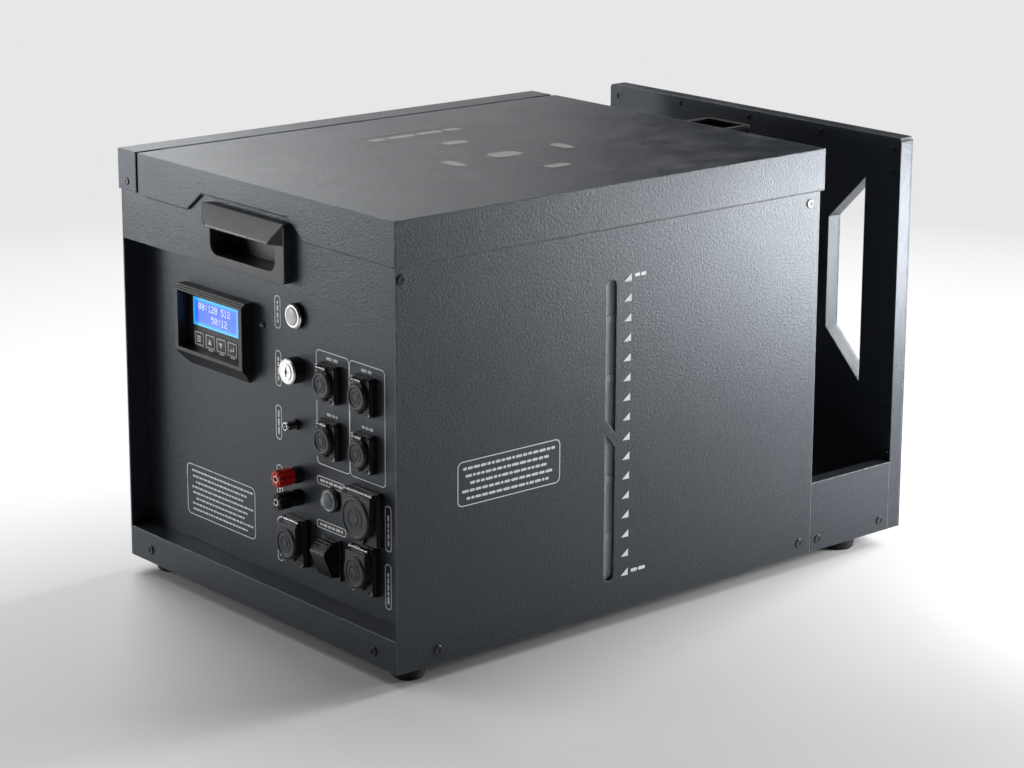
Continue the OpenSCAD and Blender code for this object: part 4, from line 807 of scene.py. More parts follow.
class FlameStep(bpy.types.Operator):
    """Base of the steps: runs make() and reports that the step is finished."""

    bl_options = {"REGISTER", "UNDO"}

    def execute(self, context):
        self.make(context.scene.flame_finishes, context.scene.flame_sizes)
        return {"FINISHED"}


class OBJECT_OT_flame_finishes(FlameStep):
    """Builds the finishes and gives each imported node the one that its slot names"""

    bl_idname = "object.flame_finishes"
    bl_label = "Finishes"

    # Nodes that are two-toned in a way that their slot's finish isn't
    TWO_TONED = {"aerial_socket": "aerial_black", "binding_posts": "post_base"}

    def make(self, look, size):
        make_finishes(look)
        slots = {row["node"]: row["material_slot"] for row in frame["record"]["subparts"]}
        for name, node in frame["nodes"].items():
            if slots.get(name) not in FINISH:
                raise ValueError(f"node {name} has no finish for its slot")
            node.data.materials.clear()
            node.data.materials.append(FINISH[self.TWO_TONED.get(name, slots[name])])


# Printed outlines and bars


def outline_print(w, h, r, line, cx=0.0, cy=0.0, low=-SINK, high=0.06):
    """A printed frame: the band between a rounded rectangle and the same one a line narrower."""
    outer = round_box(w, h, r, 7, cx, cy)
    inner = round_box(w - 2 * line, h - 2 * line, max(r - line, 0.1), 7, cx, cy)
    return hoop(outer, inner, low, high)


def bar_print(cx, cy, w, h, high=0.06):
    """A printed bar with softly rounded ends."""
    return prism(round_box(w, h, min(w, h) * 0.3, 3, cx, cy), -SINK, high)


def quad_run(a, b, low, high, above=0.25, below=0.75):
    """A flat strip between two points of an outline, from above the line to below it."""
    (xa, ya), (xb, yb) = a, b
    return prism([[xa, ya - below], [xb, yb - below], [xb, yb + above], [xa, ya + above]], low, high)


def word_bars(cx, cy, length, height, seed, upright=False, high=0.06):
    """A generic run of words: bars of seeded lengths in one row, centred on cx and cy."""
    pick = np.random.default_rng(seed)
    bars, run = [], 0.0
    while run < length - height:
        w = min(height * pick.uniform(1.2, 3.2), length - run)
        bars.append((run + w / 2 - length / 2, w))
        run += w + height * 0.45
    made = [
        bar_print(cx, cy + at, height, w, high) if upright else bar_print(cx + at, cy, w, height, high)
        for at, w in bars
    ]
    return join(*made)


class OBJECT_OT_flame_panel_print(FlameStep):
    """Prints the label frames of the control panel with generic bars in them"""

    bl_idname = "object.flame_panel_print"
    bl_label = "Panel print"

    # Upright capsules: middle x, lowest z, highest z. Lying ones: lowest x, highest x, middle z
    UPRIGHT = [(5, 233.5, 260.5), (5, 186, 215.5), (4.4, 141.5, 170.3), (4.4, 88, 120.5), (4.2, 39, 76),
               (146.4, 84, 121), (146, 37, 74)]
    LYING = [(55, 93, 121), (54.4, 92.4, 84.6)]
    BOXES = [(55.6, 98.6), (98.6, 143.6)]

    def make(self, look, size):
        line, film = size.line / MM, size.film / MM
        shapes = []
        for i, (x, low, high) in enumerate(self.UPRIGHT):
            shapes.append(outline_print(8, high - low, 3.4, line, x, (low + high) / 2, high=film))
            shapes.append(word_bars(x, (low + high) / 2, high - low - 9, 2.1, 11 + i, True, film))
        for i, (low, high, z) in enumerate(self.LYING):
            shapes.append(outline_print(high - low, 7, 2.6, line, (low + high) / 2, z, high=film))
            shapes.append(word_bars((low + high) / 2, z, high - low - 8, 2.2, 31 + i, False, film))
        for low, high in self.BOXES:
            shapes.append(outline_print(high - low, 93.5, 4, line, (low + high) / 2, 180.8, high=film))
        for i, (x, z) in enumerate([(75.5, 222.2), (120.5, 222.2), (75.5, 176.9), (120.5, 176.9)]):
            shapes.append(word_bars(x + 1, z, 15, 2.4, 41 + i, False, film))
        shapes.append(outline_print(98.8, 44.5, 5, line, -79.9, 69.3, high=film))
        for i in range(8):
            shapes.append(word_bars(-79.9 + (-1.5 if i % 3 else 2), 86.2 - i * 4.8, 88 - 9 * (i % 3), 1.7, 51 + i, False, film))
        piece("panel_print", join(*shapes), on_panel(0, 0), FINISH["ink"], "chassis")


class OBJECT_OT_flame_side_print(FlameStep):
    """Prints the level marks, their end bars and the text box on the right side"""

    bl_idname = "object.flame_side_print"
    bl_label = "Side print"

    def make(self, look, size):
        line, film = size.line / MM, size.film / MM
        shapes = []
        steps = 16
        for i in range(steps):
            z = 273.0 - i * (273.0 - 27.7) / (steps - 1)
            shapes.append(prism([[228.8, z + 0.4], [236.5, z], [236.5, z + 6.2]], -SINK, film))
        shapes.append(word_bars(246, 277.2, 12, 2.8, 61, False, film))
        shapes.append(word_bars(249, 30.6, 18, 2.8, 62, False, film))
        shapes.append(outline_print(104, 36, 5, line, 110.5, 139.2, high=film))
        for i in range(5):
            shapes.append(word_bars(110.5 - (i % 2), 151.0 - i * 6.0, 93 - 7 * (i % 3), 2.2, 71 + i, False, film))
        piece("side_print", join(*shapes), on_side(0, 0), FINISH["ink"], "chassis")


class OBJECT_OT_flame_lid_print(FlameStep):
    """Prints the layout diagram and the label box on the lid"""

    bl_idname = "object.flame_lid_print"
    bl_label = "Lid print"

    def make(self, look, size):
        line, film = size.line / MM, size.film / MM
        shapes = [bar_print(223.5, 228, 19, 30, film)]
        for x, y, w, h in [(157.7, 229, 12, 24), (225, 289.7, 24, 12), (229, 170, 24, 12), (286.7, 230.5, 12, 24)]:
            shapes.append(bar_print(x, y, w, h, film))
        for k in range(5):
            shapes.append(bar_print(170 + k * 8.6, 228.6, 4.6, 1.1, film))
            shapes.append(bar_print(238 + k * 8.6, 229.6, 4.6, 1.1, film))
            shapes.append(bar_print(224.4, 248 + k * 7, 1.1, 4, film))
            shapes.append(bar_print(226.4, 181 + k * 6.6, 1.1, 4, film))
        shapes.append(outline_print(27, 115, 4, line, 108.5, 225.5, high=film))
        shapes.append(word_bars(108.5, 225.5, 98, 9, 91, True, film))
        shape = join(*shapes)
        shape = (shape[0] - np.array([185.0, 0, 0]), shape[1])
        piece("lid_print", shape, on_lid(0, 0), FINISH["faint_ink"], "lid_body")


# Display and keys


class OBJECT_OT_flame_display(FlameStep):
    """Lights the dots of the display and prints the icons on the four menu keys"""

    bl_idname = "object.flame_display"
    bl_label = "Display and keys"

    # Dot rows of the shown digits, five dots wide and seven high
    DOTS = {
        "0": ("01110", "10001", "10011", "10101", "11001", "10001", "01110"),
        "1": ("00100", "01100", "00100", "00100", "00100", "00100", "01110"),
        "2": ("01110", "10001", "00001", "00110", "01000", "10000", "11111"),
        "5": ("11111", "10000", "11110", "00001", "00001", "10001", "01110"),
        ":": ("00000", "00100", "00100", "00000", "00100", "00100", "00000"),
        " ": ("00000",) * 7,
    }

    def icon(self, kind, film):
        """Menu: three bars. Up and down: a triangle. Enter: a hooked arrow."""
        if kind == 0:
            return [bar_print(0, dy, 5.4, 0.9, film) for dy in (-2, 0, 2)]
        if kind in (1, 2):
            s = 1 if kind == 1 else -1
            return [prism([[-2.3, -2.2], [2.3, -2.2], [0, 2.6]][:: s] if s > 0 else [[0, -2.6], [2.3, 2.2], [-2.3, 2.2]],
                          -SINK, film)]
        return [bar_print(0.4, -1, 4.2, 0.9, film), bar_print(2.3, 0.6, 0.9, 3.4, film),
                prism([[-3, -1], [-1, -2.6], [-1, 0.6]], -SINK, film)]

    def make(self, look, size):
        film = size.film / MM
        low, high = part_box("display_glass")
        middle = ((low.x + high.x) / 2, (low.z + high.z) / 2)
        pitch, dots = 0.62, []
        for row, text in enumerate(("00:120 512", "    50:12")):
            for k, char in enumerate(text):
                for r, bits in enumerate(self.DOTS[char]):
                    for c, bit in enumerate(bits):
                        if bit == "1":
                            x = -24 + k * 4.6 + c * pitch * 1.15
                            y = 7.6 - row * 9 - r * pitch * 1.35
                            dots.append(prism(round_box(0.6, 0.72, 0.1, 2, x, y), -SINK, 0.03))
        glass = seat((middle[0], low.y, middle[1]), (1, 0, 0), (0, 0, 1))
        piece("display_dots", join(*dots), glass, FINISH["dots"], "chassis")
        for i in range(4):
            low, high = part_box(f"menu_key_{i + 1}")
            face = seat(((low.x + high.x) / 2, low.y, (low.z + high.z) / 2), (1, 0, 0), (0, 0, 1))
            shapes = self.icon(i, film)
            piece(f"key_icon_{i + 1}", join(*shapes), face, FINISH["ink"], f"menu_key_{i + 1}_body")
            w, h = (high.x - low.x) / MM, (high.z - low.z) / MM
            rim = outline_print(w - 0.3, h - 0.3, 1, 0.75, high=film)
            step = seat(((low.x + high.x) / 2, low.y + 0.4 * MM, (low.z + high.z) / 2), (1, 0, 0), (0, 0, 1))
            piece(f"key_frame_{i + 1}", rim, step, FINISH["ink"], f"menu_key_{i + 1}_body")


# Fine pieces on the panel


class OBJECT_OT_flame_panel_trim(FlameStep):
    """Adds the embossed cap faces, the petals of the terminal nuts, the aerial thread and the key labels"""

    bl_idname = "object.flame_panel_trim"
    bl_label = "Panel trim"

    # Name, panel x and z, height of the dished face, cap radius
    CAPS = [
        ("data_cap_1", 75.5, 203.5, 10.5, 11),
        ("data_cap_2", 120.5, 203.5, 10.5, 11),
        ("data_cap_3", 75.5, 158, 10.5, 11),
        ("data_cap_4", 120.5, 158, 10.5, 11),
        ("power_cap_1", 31, 64, 14.5, 13),
        ("power_cap_2", 121.5, 64, 14.5, 13),
        ("power_cap_3", 121.5, 107.5, 13.5, 17.5),
    ]

    def make(self, look, size):
        for name, x, z, face, r in self.CAPS:
            raised = [
                band(0.52 * r, 0.52 * r - 0.9, face - 0.05, face + 0.3, 40),
                button(0.24 * r, face - 0.05, face + 0.35, 28),
                *[
                    moved(prism(round_box(0.07 * r, 0.3 * r, 0.3, 3, 0, 0.38 * r), face - 0.05, face + 0.2), turn=a)
                    for a in range(0, 360, 45)
                ],
            ]
            # Three grip ridges across the lift tab
            for k in range(3):
                raised.append(prism(round_box(4.6, 0.5, 0.2, 3, 0, -r - 0.4 - 0.8 * k), face - 8.0 if r > 12 else
                                    face - 2.0, 9.7 - 0.15 * k))
            piece(f"{name}_face", join(*raised), on_panel(x, z), FINISH["cap_black"], f"{name}_body")
        for name, z, finish, slot in (("red", 119, "red_plastic", "red_plastic"),
                                      ("black", 100, "black_plastic", "black_plastic")):
            petals = [moved(button(1.7, 22.6, 23.6, 14), (4.4 * math.cos(a), 4.4 * math.sin(a), 0))
                      for a in np.linspace(0, 2 * np.pi, 6, endpoint=False)]
            rim = [band(6.6, 5.9, h, h + 0.5, 40) for h in (8.4, 10.0)]
            piece(f"{name}_nut_petals", join(*petals, *rim), on_panel(31, z), FINISH[finish], f"{name}_nut_body")
        thread = [(3.0, 2.6)]
        for k in range(11):
            thread += [(3.15, 2.7 + 0.8 * k), (3.5, 3.1 + 0.8 * k)]
        thread += [(3.15, 11.6), (3.0, 11.6)]
        piece("aerial_thread", lathe(thread, 32, True), on_panel(29, 160), FINISH["aerial_black"], "chassis")
        # Labels under three of the keys, on the face of the display unit
        labels = [bar_print(-78.5 + (i - 1.5) * 15.8, 196.9, 6.5, 1.2) for i in (1, 2, 3)]
        piece("key_labels", join(*labels), on_panel(0, 0, 2.5), FINISH["ink"], "chassis")
        # Cup washers under the lower flange screws of the sockets
        ring = lathe([(2.1, 6.95), (3.2, 6.95), (3.0, 7.35), (2.3, 7.86)], 32, True)
        washers = []
        for _, x, z, _, r in self.CAPS:
            if r == 11:
                washers += [moved(ring, (x + 9.5 * s, z - 12 * s, 0)) for s in (-1, 1)]
            if r == 13:
                washers += [moved(ring, (x + 10.5 * s, z - 16, 0)) for s in (-1, 1)]
        piece("flange_washers", join(*washers), on_panel(0, 0), FINISH["zinc_steel"], "chassis")
        # Ribbed foot of the reset boot and a slotted trim ring round the lamp
        boot = [band(8.6 - 0.9 * k, 7.4 - 0.9 * k, 4.6 + 0.1 * k, 5.0 + 0.1 * k, 40) for k in range(2)]
        piece("boot_ring", join(*boot), on_panel(75.5, 108.5), FINISH["clear_boot"], "chassis")
        piece("lamp_ring", band(3.1, 2.3, -SINK, 1.0, 28), on_panel(-15.5, 232.5), FINISH["black_plastic"], "chassis")


class OBJECT_OT_flame_case_trim(FlameStep):
    """Adds the rings of the feet, the seam welds and the rivets of the guard"""

    bl_idname = "object.flame_case_trim"
    bl_label = "Case trim"

    def make(self, look, size):
        feet = []
        for x in (-163, 163):
            for y in (27, 510):
                for k in range(4):
                    z = -11.2 + 2.3 * k
                    r = 12.5 + 1.5 * (z + 13) / 11
                    loop = [(r - 0.6, z - 0.55), (r + 0.35, z), (r - 0.6, z + 0.55), (r - 1.2, z)]
                    feet.append(moved(lathe(loop, 40, True), (x, y, 0)))
                feet.append(moved(band(4.9, 3.4, -8.2, -7.4, 20), (x, y, 0)))
        piece("foot_rings", join(*feet), standing(0, 0, 0), FINISH["foot_rubber"], "chassis")
        # Black rubber strips under the lid's skirts, which follow the notch round the handle: painted shade for the
        # shadow line of the gap under the skirts
        low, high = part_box("lid")
        z0 = 319.0
        line = [(low.x / MM + 15, z0), (-84.8, z0), (-64, z0 + 16), (54, z0 + 16), (74.8, z0), (high.x / MM, z0)]
        gap_shade_strips = [quad_run(a, b, 0.3, 2.4) for a, b in zip(line, line[1:])]
        piece("lid_gap_shade_strip", join(*gap_shade_strips), seat((0, FRONT_Y, BASE_Z), (1, 0, 0), (0, 0, 1)), FINISH["hose_rubber"],
              "lid_body")
        piece("lid_side_gap_shade_strip", quad_run((-2.4, z0), (452.4, z0), 0.3, 2.4), on_side(0, 0), FINISH["hose_rubber"],
              "lid_body")
        # Spot welds in two rows inside the bulkhead and the bay
        welds = [along((x, 450, z), (0, 1, 0), button(2.0, -0.05, 0.35, 10))
                 for x in (-176, 176) for z in range(40, 341, 30)]
        welds += [along((x, 450, z), (0, 1, 0), button(2.0, -0.05, 0.35, 10))
                  for x in range(-150, 151, 30) for z in (12, 346)]
        piece("spot_welds", join(*welds), standing(0, 0, 0), FINISH["case_paint"], "chassis")
        # Blind rivets along the guard's inner face
        blind = [along((x, 549, z), (0, -1, 0), button(2.4, -0.05, 0.9, 12))
                 for x in (-176, 176) for z in (110, 180, 320, 340)]
        blind += [along((x, 549, 344), (0, -1, 0), button(2.4, -0.05, 0.9, 12)) for x in (-90, 0, 90)]
        piece("guard_rivets", join(*blind), standing(0, 0, 0), FINISH["screw_black"], "chassis")


# Fine pieces inside the case


def wire_run(corners, radius=1.2):
    return tube(smooth_path(corners, 14.0), radius, 8)


class OBJECT_OT_flame_wiring(FlameStep):
    """Runs the fixed wiring from the panel to the board and the power supply, held by clips"""

    bl_idname = "object.flame_wiring"
    bl_label = "Wiring"

    def make(self, look, size):
        r = size.wire / MM / 2
        # Where each pair starts behind the panel: x, y, z
        starts = [(29, 49, 249), (33, 49, 249), (28, 46, 205), (34, 46, 205), (29, 32, 160), (31, 44, 119),
                  (31, 44, 100), (75.5, 38, 203.5), (120.5, 38, 203.5), (75.5, 38, 158), (120.5, 38, 158)]
        low = []
        for k, (x, y, z) in enumerate(starts):
            lane = 6 + 2.7 * (k % 4)
            row = 56 + 2.7 * (k // 4)
            low.append(wire_run([(x, y, z), (x, row, z), (lane, row, z - 12), (lane, row, 44), (2 - k * 0.2, row + 8, 34),
                                 (-3, 76 + 5.4 * k, 32), (-3, 76 + 5.4 * k, 21)], r))
        piece("signal_wires", join(*low), standing(0, 0, 0), FINISH["hose_rubber"], "chassis")
        mains = []
        for k, (x, y, z) in enumerate([(31, 41, 66), (121.5, 41, 66), (121.5, 41, 110), (75.5, 66, 112), (75.5, 44, 62)]):
            lane = -124 - 3.4 * (k % 2)
            top = 176 + 3.4 * (k // 2)
            mains.append(wire_run([(x, y, z), (x, 74, z), (60, 78 + 3.4 * k, 150), (20, 80 + 3.4 * k, top), (lane, 84, top),
                                   (lane, 292 + 2 * k, top), (-171 + 6 * k, 292, 130), (-171 + 6 * k, 280, 85)], r * 1.35))
        piece("supply_wires", join(*mains), standing(0, 0, 0), FINISH["black_plastic"], "chassis")
        feeds = [wire_run([(-3, 134, 21), (-3, 158, 24), (-64, 180, 8), (-64, 250, 8), (-44, 262, 14), (-36, 262, 24)], r),
                 wire_run([(-3, 128, 21), (-8, 160, 28), (-70, 180, 8), (-70, 340, 8), (-40, 352, 60), (-12, 358, 98),
                           (-10, 362, 112)], r),
                 wire_run([(-3, 122, 21), (-12, 162, 32), (-76, 182, 8), (-76, 360, 8), (-84, 392, 8), (-88, 398, 20)], r),
                 wire_run([(-3, 116, 21), (-14, 158, 36), (-82, 184, 8), (-82, 340, 6), (20, 350, 6), (62, 374, 30),
                           (66, 382, 44)], r)]
        piece("feed_wires", join(*feeds), standing(0, 0, 0), FINISH["red_plastic"], "chassis")
        leads = [wire_run([(x, 398, 60), (x, 398, 84), (x + 20, 420, 120), (x * 0.4, 436, 152), (x * 0.25, 448.6, 166)], 3.0)
                 for x in (-134, -102)]
        piece("spark_leads", join(*leads), standing(0, 0, 0), FINISH["hose_rubber"], "chassis")
        clips = [moved(block((-7, -5, 0), (14, 10, 3)), (x, y, 1.5))
                 for x, y in ((-64, 200), (-70, 240), (-76, 300), (-82, 330), (-20, 350))]
        ties = [along((10, 60, z), (0, 0, 1), band(7.2, 6.2, -1.4, 1.4, 20)) for z in (60, 96, 140)]
        ties += [along((-126, y, 179), (0, 1, 0), band(5.6, 4.8, -1.4, 1.4, 20)) for y in (110, 160, 210, 260)]
        piece("wire_clips", join(*clips, *ties), standing(0, 0, 0), FINISH["white_plastic"], "chassis")


class OBJECT_OT_flame_electrics(FlameStep):
    """Adds the parts of the control board, the fittings of the power supply and those of the coil"""

    bl_idname = "object.flame_electrics"
    bl_label = "Electrics"

    def make(self, look, size):
        pick = np.random.default_rng(7)
        top = 11.05
        # Processor legs on four sides
        legs = []
        for k in range(14):
            at = 83.4 + k * 1.75
            legs += [block((-102, at - 0.3, top), (2, 0.6, 0.6)), block((-74, at - 0.3, top), (2, 0.6, 0.6))]
            at = -98.6 + k * 1.75
            legs += [block((at - 0.3, 80, top), (0.6, 2, 0.6)), block((at - 0.3, 108, top), (0.6, 2, 0.6))]
        screws = [moved(button(2.0, 22.0, 23.2, 12), (-3, 76 + 5.4 * k, 0)) for k in range(11)]
        mounts = [moved(button(3.0, 11.0, 12.6, 12), (x, y, 0)) for x in (-114, 14) for y in (68, 146)]
        piece("board_metal", join(*legs, *screws, *mounts), standing(0, 0, 0), FINISH["zinc_steel"], "chassis")
        small = []
        for k in range(26):
            x, y = pick.uniform(-68, -32), pick.uniform(130, 147)
            small.append(block((x, y, top), (2.2, 1.2, 0.7)))
        for x, y in ((-100, 118), (-86, 118), (-100, 132), (-86, 132)):
            small.append(block((x, y, top), (9, 7, 1.7)))
        cans = [moved(band(6.15, 5.2, 15.5, 16.2, 28), (-24, y, 11.1)) for y in (82, 104, 126)]
        piece("board_chips", join(*small, *cans), standing(0, 0, 0), FINISH["screw_black"], "chassis")
        plugs = [block((-116, 74, top), (7, 30, 9)), block((-116, 110, top), (7, 22, 9)),
                 block((-70, 64.5, top), (34, 6, 8)), block((-28, 64.5, top), (24, 6, 8))]
        piece("board_plugs", join(*plugs), standing(0, 0, 0), FINISH["white_plastic"], "chassis")
        turns = [block((-60.6, 79 + 2.3 * k, 12), (19.2, 1.6, 13.7)) for k in range(20)]
        piece("choke_turns", join(*turns), standing(0, 0, 0), FINISH["valve_brass"], "chassis")
        # Power supply: pressed air holes, screws, terminal screws between barriers, a bare plate
        holes = [moved(prism(circle(2.0, 10), -SINK, 0.06), (-176 + 8.4 * i, 84 + 9 * k, 158))
                 for i in range(5) for k in range(18)]
        piece("supply_holes", join(*holes), standing(0, 0, 0), FINISH["screw_black"], "chassis")
        heads = [along((-133.5, y, z), (1, 0, 0), button(2.4, -0.05, 1.2, 12)) for y in (76, 264) for z in (66, 152)]
        heads += [moved(button(1.9, 85.9, 87.0, 12), (-173 + 4.6 * k, 277, 0)) for k in range(6)]
        heads.append(moved(prism(round_box(30, 46, 1.5, 3), -SINK, 0.3), (-158, 246, 158)))
        piece("supply_screws", join(*heads), standing(0, 0, 0), FINISH["zinc_steel"], "chassis")
        walls = [block((-175.6 + 4.6 * k, 270.5, 85.9), (0.8, 13, 3)) for k in range(7)]
        # Coil: rubber boots on the towers, a bare label and lug bolts
        boots = [along((x, 398, 55), (0, 0, 1), lathe([(0, 0), (9, 0), (9, 4), (7.4, 8), (8, 9), (6, 14), (4, 18), (0, 18)], 24))
                 for x in (-134, -102)]
        piece("coil_boots", join(*walls, *boots), standing(0, 0, 0), FINISH["black_plastic"], "chassis")
        bolts = [moved(lathe([(0, 0), (4, 0), (4, 3), (3.2, 3.6), (0, 3.6)], 6), (x, 398, 4.4)) for x in (-154, -82)]
        bolts.append(moved(prism(round_box(34, 20, 1, 3), -SINK, 0.25), (-118, 384, 47.5)))
        piece("coil_bolts", join(*bolts), standing(0, 0, 0), FINISH["zinc_steel"], "chassis")


class OBJECT_OT_flame_fuel_trim(FlameStep):
    """Adds the moulded ribs and grip of the tank, the hose clips, the pump seams and the valve's bolts"""

    bl_idname = "object.flame_fuel_trim"
    bl_label = "Fuel system trim"

    def make(self, look, size):
        ribs = []
        for z in (64, 112, 196, 244):
            ribs.append(moved(hoop(round_box(79.2, 201.2, 12.6, 8), round_box(76, 198, 11, 8), z - 3, z + 3), (143, 218, 0)))
        ribs.append(moved(hoop(round_box(60, 150, 8, 6), round_box(54, 144, 6, 6), 289.3, 290.6), (143, 236, 0)))
        ribs.append(moved(band(22.5, 19.5, 289.2, 291.4), (143, 178, 0)))
        piece("tank_ribs", join(*ribs), standing(0, 0, 0), FINISH["tank_plastic"], "chassis")
        low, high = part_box("tank_cap")
        top = (high.z - BASE_Z) / MM
        grip = [prism(round_box(34, 6, 2.5, 5), top - 0.1, top + 5), band(21, 19.6, top - 0.1, top + 0.7),
                *[moved(prism(round_box(2, 5, 0.8, 3, 14.5, 0), top - 0.1, top + 0.5), turn=a) for a in (60, 120, 240, 300)]]
        piece("tank_cap_grip", join(*grip), standing(143, 178, 0), FINISH["red_plastic"], "tank_cap_body")
        # Worm-drive clips where a hose meets a fitting
        clips = []
        for place, axis in (((123, 329, 41.5), (0, 1, 0)), ((-20, 131, 41.5), (0, 1, 0)), ((-20, 180, 41.5), (0, 1, 0)),
                            ((-20, 188, 41.5), (0, 1, 0)), ((-20, 317, 41.5), (0, 1, 0)), ((50, 395.5, 41.5), (1, 0, 0)),
                            ((70, 376, 23.5), (0, 1, 0)), ((0, 400, 200), (0, 1, 0))):
            clips.append(along(place, axis, band(4.8, 3.9, -3, 3, 24)))
            clips.append(along(place, axis, block((3.8, -2.2, -3.4), (3.2, 4.4, 6.8))))
        piece("hose_clips", join(*clips), standing(0, 0, 0), FINISH["zinc_steel"], "chassis")
        seams = [along((-20, y, 41.5), (0, 1, 0), band(24.5, 23.5, -0.8, 0.8)) for y in (232, 253, 274)]
        seams += [along((-20 + 15 * math.cos(a), 204.9, 41.5 + 15 * math.sin(a)), (0, -1, 0), button(2.0, -0.05, 1.6, 12))
                  for a in np.linspace(0.5, 0.5 + 2 * np.pi, 6, endpoint=False)]
        piece("pump_seams", join(*seams), standing(0, 0, 0), FINISH["zinc_steel"], "chassis")
        fittings = [moved(lathe([(0, 51.4), (2.4, 51.4), (2.4, 54), (0, 54)], 6), (70 + 12.5 * sx, 395.5 + 11.5 * sy, 0))
                    for sx in (-1, 1) for sy in (-1, 1)]
        fittings += [along((70, 380.6, 23.5), (0, -1, 0), lathe([(0, -0.1), (7, -0.1), (7, 4), (5.4, 5), (0, 5)], 6)),
                     along((54.1, 395.5, 41.5), (-1, 0, 0), lathe([(0, -0.1), (7, -0.1), (7, 3), (5.4, 4), (0, 4)], 6)),
                     along((0, 411, 200), (0, -1, 0), lathe([(0, 0), (7, 0), (7, 7), (5, 9), (0, 9)], 6))]
        piece("brass_fittings", join(*fittings), standing(0, 0, 0), FINISH["valve_brass"], "chassis")
        wound = [moved(band(12.3, 11.6, z, z + 1.2), (70, 395.5, 0)) for z in (56, 60, 78, 82)]
        piece("solenoid_bands", join(*wound), standing(0, 0, 0), FINISH["black_plastic"], "chassis")


class OBJECT_OT_flame_drive_trim(FlameStep):
    """Adds the motor's screws and plates, the pulley's holes and hub, and the belt's cross ribs"""

    bl_idname = "object.flame_drive_trim"
    bl_label = "Swing drive trim"

    def make(self, look, size):
        plates = [along((0, y, 112), (0, 1, 0), hoop(round_box(56.9, 56.9, 6, 4), round_box(55, 55, 5, 4), 0, 1.0))
                  for y in (369, 407)]
        heads = [along((23.5 * sx, 361.6, 112 + 23.5 * sz), (0, -1, 0), button(2.6, -0.05, 2.0, 12))
                 for sx in (-1, 1) for sz in (-1, 1)]
        heads += [along((32.2 * sx, 415.6, 112 + 32.2 * sz), (0, -1, 0), lathe([(0, 0), (4.4, 0), (4.4, 3), (3.6, 3.6), (0, 3.6)], 6))
                  for sx in (-1, 1) for sz in (-1, 1)]
        piece("motor_screws", join(*heads), standing(0, 0, 0), FINISH["zinc_steel"], "chassis")
        socket = block((-14, 356, 104), (10, 6, 14))
        piece("motor_plates", join(*plates, socket), standing(0, 0, 0), FINISH["machined_alu"], "chassis")

        def spokes(r, n, hole):
            return [along((r * math.cos(a), 0, r * math.sin(a)), (0, -1, 0), prism(circle(hole, 14), -SINK, 0.08))
                    for a in np.linspace(0, 2 * np.pi, n, endpoint=False)]

        face = (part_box("swing_belt")[0].y - FRONT_Y) / MM
        marks = [(s[0] + np.array([0, face - 2.0, 200.0]), s[1]) for s in spokes(16.5, 6, 3.2)]
        piece("pulley_holes", join(*marks), standing(0, 0, 0), FINISH["screw_black"], "swing_head")
        hub = [along((0, face - 2.0, 200), (0, -1, 0), band(11.5, 8.02, -0.05, 3.0)),
               along((0, 412.5, 200), (0, 1, 0), band(9.2, 7.9, 0, 1.4, 40))]
        piece("pulley_hub", join(*hub), standing(0, 0, 0), FINISH["machined_alu"], "swing_head")
        # Cross ribs on the outside of the belt, evenly spaced along its run
        ra, rb, span = 24.8, 8.8, 88.0
        tilt = math.asin((ra - rb) / span)
        ribs = []
        middle = face + 4.5

        def rib(x, z, a):
            ribs.append(along((x, middle, z), (math.cos(a), 0, math.sin(a)), block((-4.4, -0.5, -0.15), (8.8, 1.0, 0.4))))

        for a in np.arange(-tilt, math.pi + tilt, 3.0 / ra):
            rib(ra * math.cos(a), 200 + ra * math.sin(a), a)
        for a in np.arange(math.pi + tilt, 2 * math.pi - tilt, 3.0 / rb):
            rib(rb * math.cos(a), 112 + rb * math.sin(a), a)
        run = math.sqrt(span**2 - (ra - rb) ** 2)
        for side in (1, -1):
            a = -tilt if side > 0 else math.pi + tilt
            start = np.array([ra * math.cos(a), 200 + ra * math.sin(a)])
            stop = np.array([rb * math.cos(a), 112 + rb * math.sin(a)])
            for k in range(1, int(run / 3)):
                x, z = start + (stop - start) * k * 3 / run
                rib(x, z, a)
        piece("belt_ribs", join(*ribs), standing(0, 0, 0), FINISH["hose_rubber"], "chassis")


